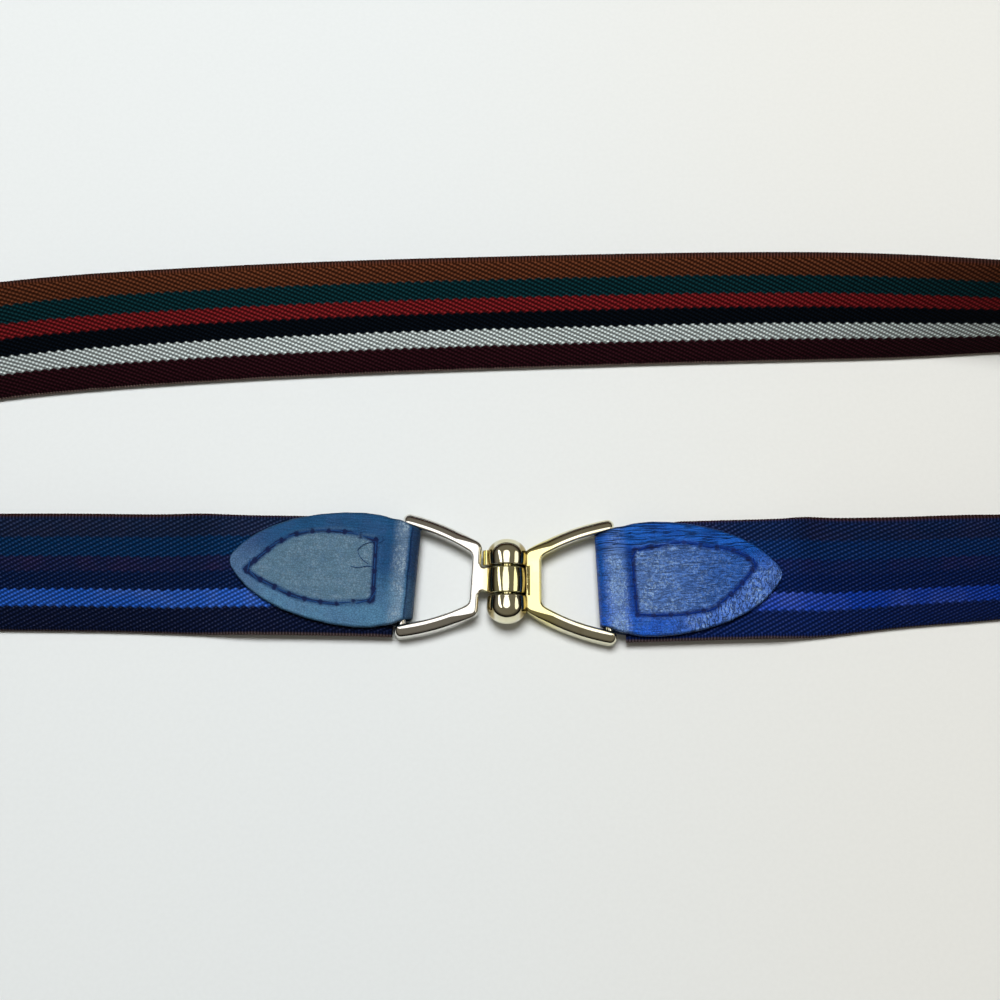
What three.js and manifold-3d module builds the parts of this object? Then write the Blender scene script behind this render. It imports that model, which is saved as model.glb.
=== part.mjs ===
// A striped stretch belt, fastened and lying as a loose loop on a flat surface.
// Millimetres, +Z up. The origin is the centre of the clasp, on the surface.
// +X runs along the front run to the right, +Y points from the front run to the back run.

import * as THREE from "three";
import Module from "manifold-3d";
import { mergeVertices } from "three/addons/utils/BufferGeometryUtils.js";

const wasm = await Module();
wasm.setup();

// Elastic webbing, a flat woven band with round selvages
const webbingWidth = 30;
const webbingThickness = 1.9;
const webbingEdge = webbingThickness / 2;
const webbingSpan = webbingWidth - webbingThickness;
const sectionPitch = 4.6;
const facePanels = 4;
const edgePanels = 2;

// Leather tabs, a strip folded over the clasp's bar with a leaf on each face of the webbing
const leatherThickness = 1.3;
const seamGap = 0.3;
const tabLift = leatherThickness + seamGap;
const tabLength = 45.5;
const tabFoldHalfWidth = 10.7;
const upperStepLength = 6;
const lowerStepLength = 4;

// Clasp frames, cast plates with two outward bowed arms and a round bar between their ends.
// The arms fall away in a wide round on the outside and have a narrow one at the window.
const frameTop = 5.1;
const frameBottom = 1.2;
const footRound = 0.4;
const armWidth = 3.7;
const armBowRadius = 54;
const armRoot = new THREE.Vector2(7.3, 7.3);
const armEnd = new THREE.Vector2(25.1, 14);
const armEdgeRound = 2.6;
const armEndEdgeRound = 1.6;
const shoulderEdgeRound = 1.2;
const tongueEdgeRound = 0.5;
const windowEdgeRound = 0.4;
const edgeRoundGain = 0.45;
const windowCornerRound = 1.2;
const shoulderRound = 1.4;
const barRadius = 1;
const barReach = 25.2;
const loopRadius = 2.9;

// Clasp barrel, three knuckles on one axis, flat at the back
const barrelRadius = 5;
const axisHeight = 3.6;
const barrelHalfLength = 10.6;
const domeDepth = 4.2;
const knuckleEdgeRound = 0.45;
const hookHalfLength = 3.25;
const knuckleGap = 0.45;
const hookClearance = 0.4;
const pinRadius = 1.5;
const pinClearance = 0.45;
const slotWidth = 3.4;
const slotAngle = 45;
const barrelFacets = 36;

// Inner edges of the two frames, measured from the barrel's axis
const hookPlateStart = 6.6;
const hookWindowStart = 8.9;
const tongueStart = 4.3;
const tongueHalfWidth = 3;
const tongueRound = 0.8;
const catchPlateStart = 4.2;
const catchWindowStart = 8.5;
const cradleStart = 4;
const cradleEnd = 6.6;
const cradleHeight = 2.8;
const lugRadius = 1.3;
const lugReach = 4.65;
const lugStart = 3.95;
const lugEnd = 7.6;

// Turns seen from above, in degrees
const hookYaw = -3.5;
const tabYaw = { left: -4.5, right: 2.3 };

// Half width of a leather leaf at shares of its length, from the fold to the tip
const leafColumns = ["share", "halfWidth"];
const leafRows = [
  [0.0, tabFoldHalfWidth],
  [0.07, 11.3],
  [0.11, 12.5],
  [0.15, 13.3],
  [0.21, 14.0],
  [0.31, 14.3],
  [0.42, 14.0],
  [0.55, 13.1],
  [0.69, 11.4],
  [0.8, 9.2],
  [0.89, 6.7],
  [0.955, 3.9],
  [0.99, 1.9],
  [1.0, 0.7],
];

// Route of the webbing's lower edge from the right tab round the loop to the left tab.
// x and y are on the surface. The rolls turn the band about its length, 90 lies flat with the
// outer face up, 0 stands on the lower edge and -90 lies flat with the inner face up.
// The lift is 1 between the leather leaves and 0 on the surface.
const routeColumns = ["x", "y", "lowRoll", "highRoll", "lift"];
const routeRows = [
  [29.2, -14.1, 90, 90, 1],
  [44, -13.7, 90, 90, 1],
  [57, -13.3, 90, 90, 1],
  [67.5, -13.1, 90, 90, 1],
  [73, -13, 83, 84, 0.15],
  [78.5, -12.6, 67, 69, 0],
  [86, -11.6, 59, 62, 0],
  [97, -10.3, 52, 56, 0],
  [109, -9.3, 49, 55, 0],
  [128, -8, 42, 51, 0],
  [150, -3.4, 28, 36, 0],
  [171, 9.5, 9, 12, 0],
  [183, 30, -3, -4, 0],
  [174, 52, -11, -14, 0],
  [150, 62.8, -15, -20, 0],
  [126, 61.8, -21, -27, 0],
  [104, 60.3, -32, -37, 0],
  [78, 59.7, -40, -43, 0],
  [40, 58.8, -44, -45, 0],
  [0, 57.4, -47, -47, 0],
  [-40, 56, -49, -49, 0],
  [-80, 53.7, -51, -51, 0],
  [-116, 51, -54, -54, 0],
  [-145, 47.3, -48, -48, 0],
  [-168, 39.5, -29, -29, 0],
  [-184, 24, -6, -6, 0],
  [-183, 5, 19, 19, 0],
  [-166, -8, 43, 43, 0],
  [-142, -10.9, 60, 60, 0],
  [-116, -11.1, 64, 64, 0],
  [-98, -11.3, 65, 65, 0],
  [-88, -11.6, 66, 66, 0],
  [-80, -11.9, 70, 70, 0],
  [-73, -12.1, 83, 83, 0.1],
  [-66, -12.1, 90, 90, 1],
  [-56, -12.2, 90, 90, 1],
  [-43, -12.4, 90, 90, 1],
  [-29.2, -12.7, 90, 90, 1],
];

// Turns rows of numbers into rows with named columns
function table(columns, rows) {
  return rows.map((row) => Object.fromEntries(columns.map((name, k) => [name, row[k]])));
}

const leafTable = table(leafColumns, leafRows);
const routeTable = table(routeColumns, routeRows);

// Triangles that fan out from a ring's first point
function fan(size) {
  return Array.from({ length: size - 2 }, (_, k) => [0, k + 1, k + 2]);
}

// Closed body through rings of equal size, with a flat cap at each end
function loft(rings, cap = fan(rings[0].length)) {
  const size = rings[0].length;
  const index = [];
  for (let i = 0; i + 1 < rings.length; i++) {
    for (let j = 0; j < size; j++) {
      const a = i * size + j;
      const b = i * size + ((j + 1) % size);
      index.push(a, b + size, b, a, a + size, b + size);
    }
  }
  const last = (rings.length - 1) * size;
  for (const [a, b, c] of cap) {
    index.push(a, b, c);
    index.push(last + a, last + c, last + b);
  }
  const geometry = new THREE.BufferGeometry();
  const positions = rings.flat().flatMap((point) => point.toArray());
  geometry.setAttribute("position", new THREE.Float32BufferAttribute(positions, 3));
  geometry.setIndex(index);
  geometry.computeVertexNormals();
  return geometry;
}

// Solid for cutting and joining, made from a closed geometry
function solid(geometry) {
  const bare = geometry.clone();
  bare.deleteAttribute("normal");
  bare.deleteAttribute("uv");
  const merged = mergeVertices(bare, 1e-4);
  const corners = merged.index.array;
  const triVerts = [];
  for (let k = 0; k < corners.length; k += 3) {
    const [a, b, c] = corners.slice(k, k + 3);
    if (a !== b && b !== c && c !== a) triVerts.push(a, b, c);
  }
  const mesh = new wasm.Mesh({
    numProp: 3,
    vertProperties: new Float32Array(merged.attributes.position.array),
    triVerts: new Uint32Array(triVerts),
  });
  return new wasm.Manifold(mesh);
}

function geometryOf(body) {
  const { vertProperties, triVerts } = body.getMesh();
  const geometry = new THREE.BufferGeometry();
  geometry.setAttribute("position", new THREE.BufferAttribute(vertProperties, 3));
  geometry.setIndex(new THREE.BufferAttribute(triVerts, 1));
  geometry.computeVertexNormals();
  return geometry;
}

// Row of the route at t, counted in rows, on a smooth curve that the rows steer
function routeAt(t) {
  const lastRow = routeTable.length - 1;
  const start = Math.min(Math.floor(t), lastRow - 1);
  const f = t - start;
  const weights = [
    (1 - f) ** 3,
    3 * f ** 3 - 6 * f ** 2 + 4,
    -3 * f ** 3 + 3 * f ** 2 + 3 * f + 1,
    f ** 3,
  ];
  const value = (row, name) => {
    if (row < 0) return 2 * routeTable[0][name] - routeTable[1][name];
    if (row > lastRow) return 2 * routeTable[lastRow][name] - routeTable[lastRow - 1][name];
    return routeTable[row][name];
  };
  return Object.fromEntries(
    routeColumns.map((name) => [
      name,
      weights.reduce((sum, weight, k) => sum + (weight * value(start - 1 + k, name)) / 6, 0),
    ]),
  );
}

// Stations at an even pitch along the route, each with its place, inward direction and rolls
function routeStations(pitch) {
  const stepsPerRow = 60;
  const fine = [];
  for (let k = 0; k <= (routeTable.length - 1) * stepsPerRow; k++) {
    fine.push(routeAt(k / stepsPerRow));
  }
  const lengths = [0];
  for (let k = 1; k < fine.length; k++) {
    lengths.push(lengths[k - 1] + Math.hypot(fine[k].x - fine[k - 1].x, fine[k].y - fine[k - 1].y));
  }
  const total = lengths.at(-1);
  const count = Math.round(total / pitch);
  const stations = [];
  let k = 1;
  for (let i = 0; i <= count; i++) {
    const wanted = (total * i) / count;
    while (k < fine.length - 1 && lengths[k] < wanted) k++;
    const share = (wanted - lengths[k - 1]) / (lengths[k] - lengths[k - 1]);
    const place = routeAt((k - 1 + share) / stepsPerRow);
    const ahead = new THREE.Vector2(fine[k].x - fine[k - 1].x, fine[k].y - fine[k - 1].y).normalize();
    stations.push({
      lowEdge: new THREE.Vector3(place.x, place.y, webbingEdge + tabLift * place.lift),
      inward: new THREE.Vector3(-ahead.y, ahead.x, 0),
      lowRoll: THREE.MathUtils.degToRad(place.lowRoll),
      highRoll: THREE.MathUtils.degToRad(place.highRoll),
    });
  }
  return stations;
}

// Directions across the band and out of its outer face at a roll
function acrossAt(station, roll) {
  return new THREE.Vector3(0, 0, Math.cos(roll)).addScaledVector(station.inward, Math.sin(roll));
}

function outwardAt(station, roll) {
  return new THREE.Vector3(0, 0, Math.sin(roll)).addScaledVector(station.inward, -Math.cos(roll));
}

// Closed ring round the band: the outer face, the upper selvage, the inner face, the lower selvage
function webbingRing(station) {
  const middle = [];
  const point = station.lowEdge.clone();
  const panel = webbingSpan / facePanels;
  for (let k = 0; k <= facePanels; k++) {
    const roll = THREE.MathUtils.lerp(station.lowRoll, station.highRoll, k / facePanels);
    middle.push({ roll, point: point.clone() });
    const halfway = THREE.MathUtils.lerp(station.lowRoll, station.highRoll, (k + 0.5) / facePanels);
    point.addScaledVector(acrossAt(station, halfway), panel);
  }
  const offset = ({ roll, point: at }, angle) =>
    at
      .clone()
      .addScaledVector(outwardAt(station, roll), webbingEdge * Math.cos(angle))
      .addScaledVector(acrossAt(station, roll), webbingEdge * Math.sin(angle));
  const ring = middle.map((row) => offset(row, 0));
  for (let k = 1; k < edgePanels; k++) {
    ring.push(offset(middle.at(-1), (Math.PI * k) / edgePanels));
  }
  ring.push(...middle.toReversed().map((row) => offset(row, Math.PI)));
  for (let k = 1; k < edgePanels; k++) {
    ring.push(offset(middle[0], Math.PI * (1 + k / edgePanels)));
  }
  return ring;
}

function elasticWebbing() {
  return loft(routeStations(sectionPitch).map(webbingRing));
}

// Half width of the leaf at a distance from the fold, straight between the table's rows
function leafHalfWidth(distance) {
  const share = THREE.MathUtils.clamp(distance / tabLength, 0, 1);
  const k = leafTable.findIndex((row, i) => i > 0 && share <= row.share);
  const [a, b] = [leafTable[k - 1], leafTable[k]];
  return THREE.MathUtils.mapLinear(share, a.share, b.share, a.halfWidth, b.halfWidth);
}

// Middle line of the leather strip seen from the side, upper tip first.
// Its x is measured from the clasp's bar and its y is the height.
function leatherLine() {
  const middleRadius = loopRadius - leatherThickness / 2;
  const upperHeight = tabLift + webbingThickness + seamGap + leatherThickness / 2;
  const lowerHeight = leatherThickness / 2;
  const heightAt = (reach, level, turn, step) => {
    const share = THREE.MathUtils.smoothstep(reach, 0, step);
    return THREE.MathUtils.lerp(turn, level, share);
  };
  const reaches = leafTable
    .map((row) => row.share * tabLength - loopRadius)
    .filter((reach) => reach > upperStepLength + 0.5);
  for (let k = 1; k <= 4; k++) reaches.push((upperStepLength * k) / 4);
  reaches.push(lowerStepLength);
  reaches.sort((a, b) => b - a);
  const line = reaches.map(
    (reach) =>
      new THREE.Vector2(reach, heightAt(reach, upperHeight, axisHeight + middleRadius, upperStepLength)),
  );
  const loopPanels = 10;
  for (let k = 0; k <= loopPanels; k++) {
    const angle = Math.PI * (0.5 + k / loopPanels);
    line.push(
      new THREE.Vector2(
        middleRadius * Math.cos(angle),
        axisHeight + middleRadius * Math.sin(angle),
      ),
    );
  }
  for (const reach of reaches.toReversed()) {
    const height = heightAt(reach, lowerHeight, axisHeight - middleRadius, lowerStepLength);
    line.push(new THREE.Vector2(reach, height));
  }
  return line;
}

function leatherTab() {
  const line = leatherLine();
  const rings = line.map((place, i) => {
    const ahead = line[Math.min(i + 1, line.length - 1)].clone().sub(line[Math.max(i - 1, 0)]);
    ahead.normalize().multiplyScalar(leatherThickness / 2);
    const half = leafHalfWidth(place.x + loopRadius);
    const corner = (side, face) =>
      new THREE.Vector3(place.x - face * ahead.y, side * half, place.y + face * ahead.x);
    return [corner(-1, 1), corner(1, 1), corner(1, -1), corner(-1, -1)];
  });
  return loft(rings);
}

// Centre of the circle that an arm's middle line follows
function armCentre() {
  const chord = armEnd.clone().sub(armRoot);
  const sagitta = Math.sqrt(armBowRadius ** 2 - chord.lengthSq() / 4);
  const middle = armRoot.clone().add(armEnd).multiplyScalar(0.5);
  return middle.addScaledVector(new THREE.Vector2(chord.y, -chord.x).normalize(), sagitta);
}

// Points of a circular arc seen from above
function planArc(centre, radius, from, to, panels) {
  const points = [];
  for (let k = 0; k <= panels; k++) {
    const angle = THREE.MathUtils.lerp(from, to, k / panels);
    points.push(
      new THREE.Vector2(centre.x + radius * Math.cos(angle), centre.y + radius * Math.sin(angle)),
    );
  }
  return points;
}

// Points that round off a corner, from a point on one side to a point on the other
function roundedCorner(from, corner, to) {
  return new THREE.QuadraticBezierCurve(from, corner, to).getPoints(4);
}

// Angles at the arm's circle: at its end, and where a circle of the radius has the given x
function armEndAngle(centre) {
  return Math.atan2(armEnd.y - centre.y, armEnd.x - centre.x);
}

function armAngleAt(centre, x, radius) {
  return Math.acos((x - centre.x) / radius);
}

// Outside of the upper arm from its end to the shoulder beside the barrel
function armOutside(plateStart) {
  const centre = armCentre();
  const radius = armBowRadius + armWidth / 2;
  const endAngle = armEndAngle(centre);
  const shoulderAngle = armAngleAt(centre, plateStart + shoulderRound, radius);
  const shoulderY = centre.y + radius * Math.sin(armAngleAt(centre, plateStart, radius));
  const bow = planArc(centre, radius, endAngle, shoulderAngle, 9);
  const shoulder = roundedCorner(
    bow.at(-1),
    new THREE.Vector2(plateStart, shoulderY),
    new THREE.Vector2(plateStart, shoulderY - shoulderRound),
  );
  const end = planArc(armEnd, armWidth / 2, endAngle - Math.PI / 2, endAngle, 4);
  return [...end, ...bow.slice(1), ...shoulder.slice(1)];
}

// Window edge from outside the upper arm's end to the window's corner
function armInside(windowStart) {
  const centre = armCentre();
  const radius = armBowRadius - armWidth / 2;
  const endAngle = armEndAngle(centre);
  const filletAngle = armAngleAt(centre, windowStart + windowCornerRound, radius);
  const cornerY = centre.y + radius * Math.sin(armAngleAt(centre, windowStart, radius));
  const bow = planArc(centre, radius, endAngle, filletAngle, 9);
  const corner = roundedCorner(
    bow.at(-1),
    new THREE.Vector2(windowStart, cornerY),
    new THREE.Vector2(windowStart, cornerY - windowCornerRound),
  );
  const end = planArc(armEnd, armWidth / 2, endAngle - Math.PI / 2, endAngle - Math.PI, 4);
  const outside = new THREE.Vector2(end[0].x + armWidth, end[0].y);
  return [outside, ...end, ...bow.slice(1), ...corner.slice(1)];
}

// Closed outline from its upper half
function mirrored(upper) {
  return [...upper, ...upper.map((point) => new THREE.Vector2(point.x, -point.y)).toReversed()];
}

// Upright body on an outline, from levels that each give a height and an inset at a point
function uprightBody(outline, levels) {
  const count = outline.length;
  const inward = outline.map((_, k) => {
    const before = outline[(k + count - 1) % count];
    const after = outline[(k + 1) % count];
    return new THREE.Vector2(before.y - after.y, after.x - before.x).normalize();
  });
  const rings = levels.map((level) =>
    outline.map((point, k) => {
      const { height, inset } = level(point);
      const place = point.clone().addScaledVector(inward[k], inset);
      return new THREE.Vector3(place.x, place.y, height);
    }),
  );
  return loft(rings, THREE.ShapeUtils.triangulateShape(outline, []));
}

// Round of a frame's outer edge at a point, wide on the arms and narrow at the barrel
function outerRoundAt(point, plateStart) {
  if (point.x < plateStart) return tongueEdgeRound;
  return Math.min(
    armEdgeRound,
    shoulderEdgeRound + edgeRoundGain * (point.x - plateStart),
    armEndEdgeRound + edgeRoundGain * Math.max(armEnd.x - point.x, 0),
  );
}

// Frame plate with both arms. The upper half of its edge at the barrel is given as points.
function framePlate(plateStart, windowStart, barrelSide) {
  const panels = 5;
  const outerLevels = [];
  for (let k = panels; k >= 0; k--) {
    const angle = (Math.PI / 2) * (k / panels);
    outerLevels.push((point) => {
      const round = outerRoundAt(point, plateStart);
      return { height: frameTop - round * (1 - Math.sin(angle)), inset: round * (1 - Math.cos(angle)) };
    });
  }
  outerLevels.push(() => ({ height: frameBottom + footRound, inset: 0 }));
  outerLevels.push(() => ({ height: frameBottom, inset: footRound }));
  const windowLevels = [() => ({ height: frameTop + 1, inset: -windowEdgeRound })];
  for (let k = 3; k >= 0; k--) {
    const angle = (Math.PI / 2) * (k / 3);
    const height = frameTop - windowEdgeRound * (1 - Math.sin(angle));
    const inset = -windowEdgeRound * (1 - Math.cos(angle));
    windowLevels.push(() => ({ height, inset }));
  }
  windowLevels.push(() => ({ height: frameBottom - 1, inset: 0 }));
  const outside = uprightBody(mirrored([...armOutside(plateStart), ...barrelSide]), outerLevels);
  const window = uprightBody(mirrored(armInside(windowStart)), windowLevels);
  return solid(outside).subtract(solid(window));
}

// Round bar between the arms' ends, inside the leather loop
function crossbar() {
  const bar = new THREE.CylinderGeometry(barRadius, barRadius, 2 * armEnd.y, 20);
  return bar.translate(barReach, 0, axisHeight);
}

// Points of an elliptic arc as pairs of radius and place along the axis
function arcPoints(radius, along, width, height, from, to, panels) {
  const rows = [];
  for (let k = 0; k <= panels; k++) {
    const angle = THREE.MathUtils.degToRad(THREE.MathUtils.lerp(from, to, k / panels));
    rows.push([radius + width * Math.cos(angle), along + height * Math.sin(angle)]);
  }
  return rows;
}

// Body turned about the barrel's axis, from pairs of radius and place along the axis
function turned(profile) {
  const points = profile.map(([radius, along]) => new THREE.Vector2(radius, along));
  return new THREE.LatheGeometry(points, barrelFacets);
}

function middleKnuckle() {
  const round = knuckleEdgeRound;
  const edge = hookHalfLength - round;
  return turned([
    [0, -hookHalfLength],
    ...arcPoints(barrelRadius - round, -edge, round, round, -90, 0, 3),
    ...arcPoints(barrelRadius - round, edge, round, round, 0, 90, 3),
    [0, hookHalfLength],
  ]);
}

function domedKnuckle() {
  const round = knuckleEdgeRound;
  const start = hookHalfLength + knuckleGap;
  return turned([
    [0, start],
    ...arcPoints(barrelRadius - round, start + round, round, round, -90, 0, 3),
    ...arcPoints(0, barrelHalfLength - domeDepth, barrelRadius, domeDepth, 0, 90, 8),
  ]);
}

function axisRod(radius, halfLength) {
  return new THREE.CylinderGeometry(radius, radius, 2 * halfLength, barrelFacets);
}

// Part of a body above the surface, which gives the barrel its flat back
function aboveSurface(body) {
  return body.intersect(solid(new THREE.BoxGeometry(80, 80, 40).translate(0, 0, 20)));
}

// Half with the middle knuckle, a hook that grips the hidden pin through a slot in its back
function hookHalf() {
  const tongueSide = [
    [hookPlateStart, tongueHalfWidth + tongueRound],
    [hookPlateStart - 0.3 * tongueRound, tongueHalfWidth + 0.3 * tongueRound],
    [hookPlateStart - tongueRound, tongueHalfWidth],
    [tongueStart, tongueHalfWidth],
  ].map(([x, y]) => new THREE.Vector2(x, y));
  const plate = framePlate(hookPlateStart, hookWindowStart, tongueSide);
  const slotLength = 2 * barrelRadius;
  const slot = new THREE.BoxGeometry(slotLength, 3 * hookHalfLength, slotWidth)
    .translate(slotLength / 2, 0, 0)
    .rotateY(THREE.MathUtils.degToRad(slotAngle))
    .translate(0, 0, axisHeight);
  const bore = axisRod(pinRadius + pinClearance, 2 * hookHalfLength).translate(0, 0, axisHeight);
  const body = plate
    .add(solid(crossbar()))
    .rotate([0, 0, hookYaw])
    .add(solid(middleKnuckle().translate(0, 0, axisHeight)))
    .subtract(solid(bore))
    .subtract(solid(slot));
  return geometryOf(aboveSurface(body));
}

// Half with the two domed knuckles, the pin between them and a cradle behind the middle knuckle
function catchHalf() {
  const halfGap = hookHalfLength + knuckleGap;
  const cradle = new THREE.BoxGeometry(cradleEnd - cradleStart, 2 * halfGap + 2, cradleHeight)
    .translate((cradleStart + cradleEnd) / 2, 0, cradleHeight / 2);
  const lug = new THREE.CylinderGeometry(lugRadius, lugRadius, lugEnd - lugStart, 20)
    .translate(-lugReach, (lugStart + lugEnd) / 2, axisHeight);
  const room = axisRod(barrelRadius + hookClearance, halfGap).translate(0, 0, axisHeight);
  const pin = axisRod(pinRadius, halfGap + 1).translate(0, 0, axisHeight);
  const body = framePlate(catchPlateStart, catchWindowStart, [])
    .add(solid(crossbar()))
    .add(solid(domedKnuckle().translate(0, 0, axisHeight)))
    .add(solid(domedKnuckle().rotateX(Math.PI).translate(0, 0, axisHeight)))
    .add(solid(cradle))
    .add(solid(lug))
    .subtract(solid(room))
    .add(solid(pin));
  return geometryOf(aboveSurface(body));
}

const webbingCloth = new THREE.MeshStandardMaterial({ color: 0x1b2340, roughness: 0.9, metalness: 0 });
const fadedLeather = new THREE.MeshStandardMaterial({ color: 0x3d5f86, roughness: 0.5, metalness: 0 });
const brightLeather = new THREE.MeshStandardMaterial({ color: 0x1f4fae, roughness: 0.45, metalness: 0 });
const polishedNickel = new THREE.MeshStandardMaterial({ color: 0xd8d3c0, roughness: 0.15, metalness: 1 });

function part(name, geometry, material) {
  const mesh = new THREE.Mesh(geometry, material);
  mesh.name = name;
  return mesh;
}

// Half of the clasp and its tab, pointed away from the barrel
function side(halfMesh, halfTurn, tabMesh, barAngle, tabTurn) {
  const half = new THREE.Group();
  half.rotation.z = halfTurn;
  half.add(halfMesh);
  const tab = new THREE.Group();
  tab.position.set(barReach * Math.cos(barAngle), barReach * Math.sin(barAngle), 0);
  tab.rotation.z = tabTurn;
  tab.add(tabMesh);
  return [half, tab];
}

const { degToRad } = THREE.MathUtils;
const belt = new THREE.Group();
belt.add(
  part("elastic_webbing", elasticWebbing(), webbingCloth),
  ...side(
    part("clasp_hook_half", hookHalf(), polishedNickel),
    Math.PI,
    part("leather_tab_left", leatherTab(), fadedLeather),
    Math.PI + degToRad(hookYaw),
    Math.PI + degToRad(tabYaw.left),
  ),
  ...side(
    part("clasp_catch_half", catchHalf(), polishedNickel),
    0,
    part("leather_tab_right", leatherTab(), brightLeather),
    0,
    degToRad(tabYaw.right),
  ),
);

export default belt;
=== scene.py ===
import itertools
import math

import bmesh
import bpy
import numpy as np
from mathutils import Matrix, Vector, noise


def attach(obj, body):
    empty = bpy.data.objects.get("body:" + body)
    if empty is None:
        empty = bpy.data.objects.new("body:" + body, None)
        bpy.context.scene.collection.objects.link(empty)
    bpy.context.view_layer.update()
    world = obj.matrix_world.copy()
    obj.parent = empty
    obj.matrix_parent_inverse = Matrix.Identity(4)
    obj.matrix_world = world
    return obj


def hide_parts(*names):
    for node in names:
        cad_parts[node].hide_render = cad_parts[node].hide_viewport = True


# A striped stretch belt, fastened and lying as a loose loop. Sizes are in millimetres here,
# in the frame of the CAD part, and become metres where a mesh is made.
mm = 0.001
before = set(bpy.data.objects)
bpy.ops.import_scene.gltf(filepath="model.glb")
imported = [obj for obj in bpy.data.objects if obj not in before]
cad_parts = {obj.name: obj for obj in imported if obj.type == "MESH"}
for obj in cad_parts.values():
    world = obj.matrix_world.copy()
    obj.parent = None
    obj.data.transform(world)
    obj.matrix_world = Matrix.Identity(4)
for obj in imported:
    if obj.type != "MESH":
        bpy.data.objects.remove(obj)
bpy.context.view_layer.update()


# A screen colour of 0 to 255 as the linear colour that shaders use
def tone(red, green, blue):
    shares = [value / 255 for value in (red, green, blue)]
    return tuple(s / 12.92 if s <= 0.04045 else ((s + 0.055) / 1.055) ** 2.4 for s in shares) + (1,)


# A node with its settings, and its inputs by name or number from values or sockets
def addNode(tree, kind, inputs=(), **settings):
    item = tree.nodes.new(kind)
    for name, value in settings.items():
        setattr(item, name, value)
    for key, value in dict(inputs).items():
        if isinstance(value, bpy.types.NodeSocket):
            tree.links.new(value, item.inputs[key])
        else:
            item.inputs[key].default_value = value
    return item


def maths(tree, operation, *values, clamp=False):
    inputs = dict(enumerate(values))
    return addNode(tree, "ShaderNodeMath", inputs, operation=operation, use_clamp=clamp).outputs[0]


# One operation on several values, from left to right
def chain(tree, operation, values):
    result = values[0]
    for value in values[1:]:
        result = maths(tree, operation, result, value)
    return result


def times(tree, *values):
    return chain(tree, "MULTIPLY", values)


def plus(tree, *values):
    return chain(tree, "ADD", values)


def minus(tree, *values):
    return chain(tree, "SUBTRACT", values)


# What a mask leaves
def without(tree, mask):
    return minus(tree, 1.0, mask)


def remap(tree, value, low, high, toLow=0.0, toHigh=1.0, smooth=True):
    inputs = {"Value": value, "From Min": low, "From Max": high, "To Min": toLow, "To Max": toHigh}
    kind = "SMOOTHSTEP" if smooth else "LINEAR"
    return addNode(tree, "ShaderNodeMapRange", inputs, interpolation_type=kind).outputs["Result"]


# A mask that rises, stays and falls at four places
def bandMask(tree, value, rows):
    rise = remap(tree, value, rows[0], rows[1])
    return times(tree, rise, remap(tree, value, rows[2], rows[3], 1.0, 0.0))


def mixColour(tree, factor, first, second, blend="MIX"):
    inputs = {"Factor": factor, 6: first, 7: second}
    return addNode(tree, "ShaderNodeMix", inputs, data_type="RGBA", blend_type=blend).outputs[2]


def noiseAt(tree, vector, scale, detail=2.0, roughness=0.5):
    inputs = {"Vector": vector, "Scale": scale, "Detail": detail, "Roughness": roughness}
    return addNode(tree, "ShaderNodeTexNoise", inputs).outputs["Fac"]


def stretched(tree, vector, scale, turn=0):
    inputs = {"Vector": vector, "Rotation": (0, 0, math.radians(turn)), "Scale": scale}
    return addNode(tree, "ShaderNodeMapping", inputs).outputs[0]


def enlarged(tree, vector, factor):
    return addNode(tree, "ShaderNodeVectorMath", {0: vector, 3: factor}, operation="SCALE").outputs[0]


def ramp(tree, factor, stops):
    item = addNode(tree, "ShaderNodeValToRGB", {"Fac": factor})
    elements = item.color_ramp.elements
    while len(elements) < len(stops):
        elements.new(0.5)
    for element, (place, colour) in zip(elements, stops):
        element.position = place
        element.color = colour
    return item.outputs["Color"]


def bumpAt(tree, height, distance):
    return addNode(tree, "ShaderNodeBump", {"Height": height, "Distance": distance * mm}).outputs["Normal"]


def objectPlace(tree):
    return addNode(tree, "ShaderNodeTexCoord").outputs["Object"]


def facePlace(tree, name):
    return addNode(tree, "ShaderNodeUVMap", uv_map=name).outputs["UV"]


def pointValue(tree, name):
    return addNode(tree, "ShaderNodeAttribute", attribute_name=name).outputs["Fac"]


def partsOf(tree, vector):
    return addNode(tree, "ShaderNodeSeparateXYZ", {0: vector}).outputs


# Sockets that hold a number
def floats(*names):
    return dict.fromkeys(names, "Float")


# A node group with named sockets: its tree, what it is given and what it puts out
def newGroup(name, kind, inputs, outputs):
    tree = bpy.data.node_groups.new(name, kind)
    for way, sockets in (("INPUT", inputs), ("OUTPUT", outputs)):
        for label, value in sockets.items():
            tree.interface.new_socket(label, in_out=way, socket_type=f"NodeSocket{value}")
    return tree, tree.nodes.new("NodeGroupInput").outputs, tree.nodes.new("NodeGroupOutput").inputs


def useGroup(tree, group, inputs):
    return addNode(tree, "ShaderNodeGroup", inputs, node_tree=group).outputs


# A material with one Principled shader, whose even values are set on its own sockets
def newMaterial(name, **shader):
    material = bpy.data.materials.new(name)
    material.use_nodes = True
    tree = material.node_tree
    tree.nodes.clear()
    values = {key.replace("_", " "): value for key, value in shader.items()}
    surface = addNode(tree, "ShaderNodeBsdfPrincipled", values)
    addNode(tree, "ShaderNodeOutputMaterial", {"Surface": surface.outputs["BSDF"]})
    return material, tree, surface.inputs


def linked(name, data):
    item = bpy.data.objects.new(name, data)
    bpy.context.scene.collection.objects.link(item)
    return item


# An object from points in millimetres
def newPiece(name, points, faces, material):
    mesh = bpy.data.meshes.new(name)
    mesh.from_pydata([tuple(point) for point in np.asarray(points) * mm], [], faces)
    mesh.materials.append(material)
    mesh.shade_smooth()
    mesh.update()
    return linked(name, mesh)


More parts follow.
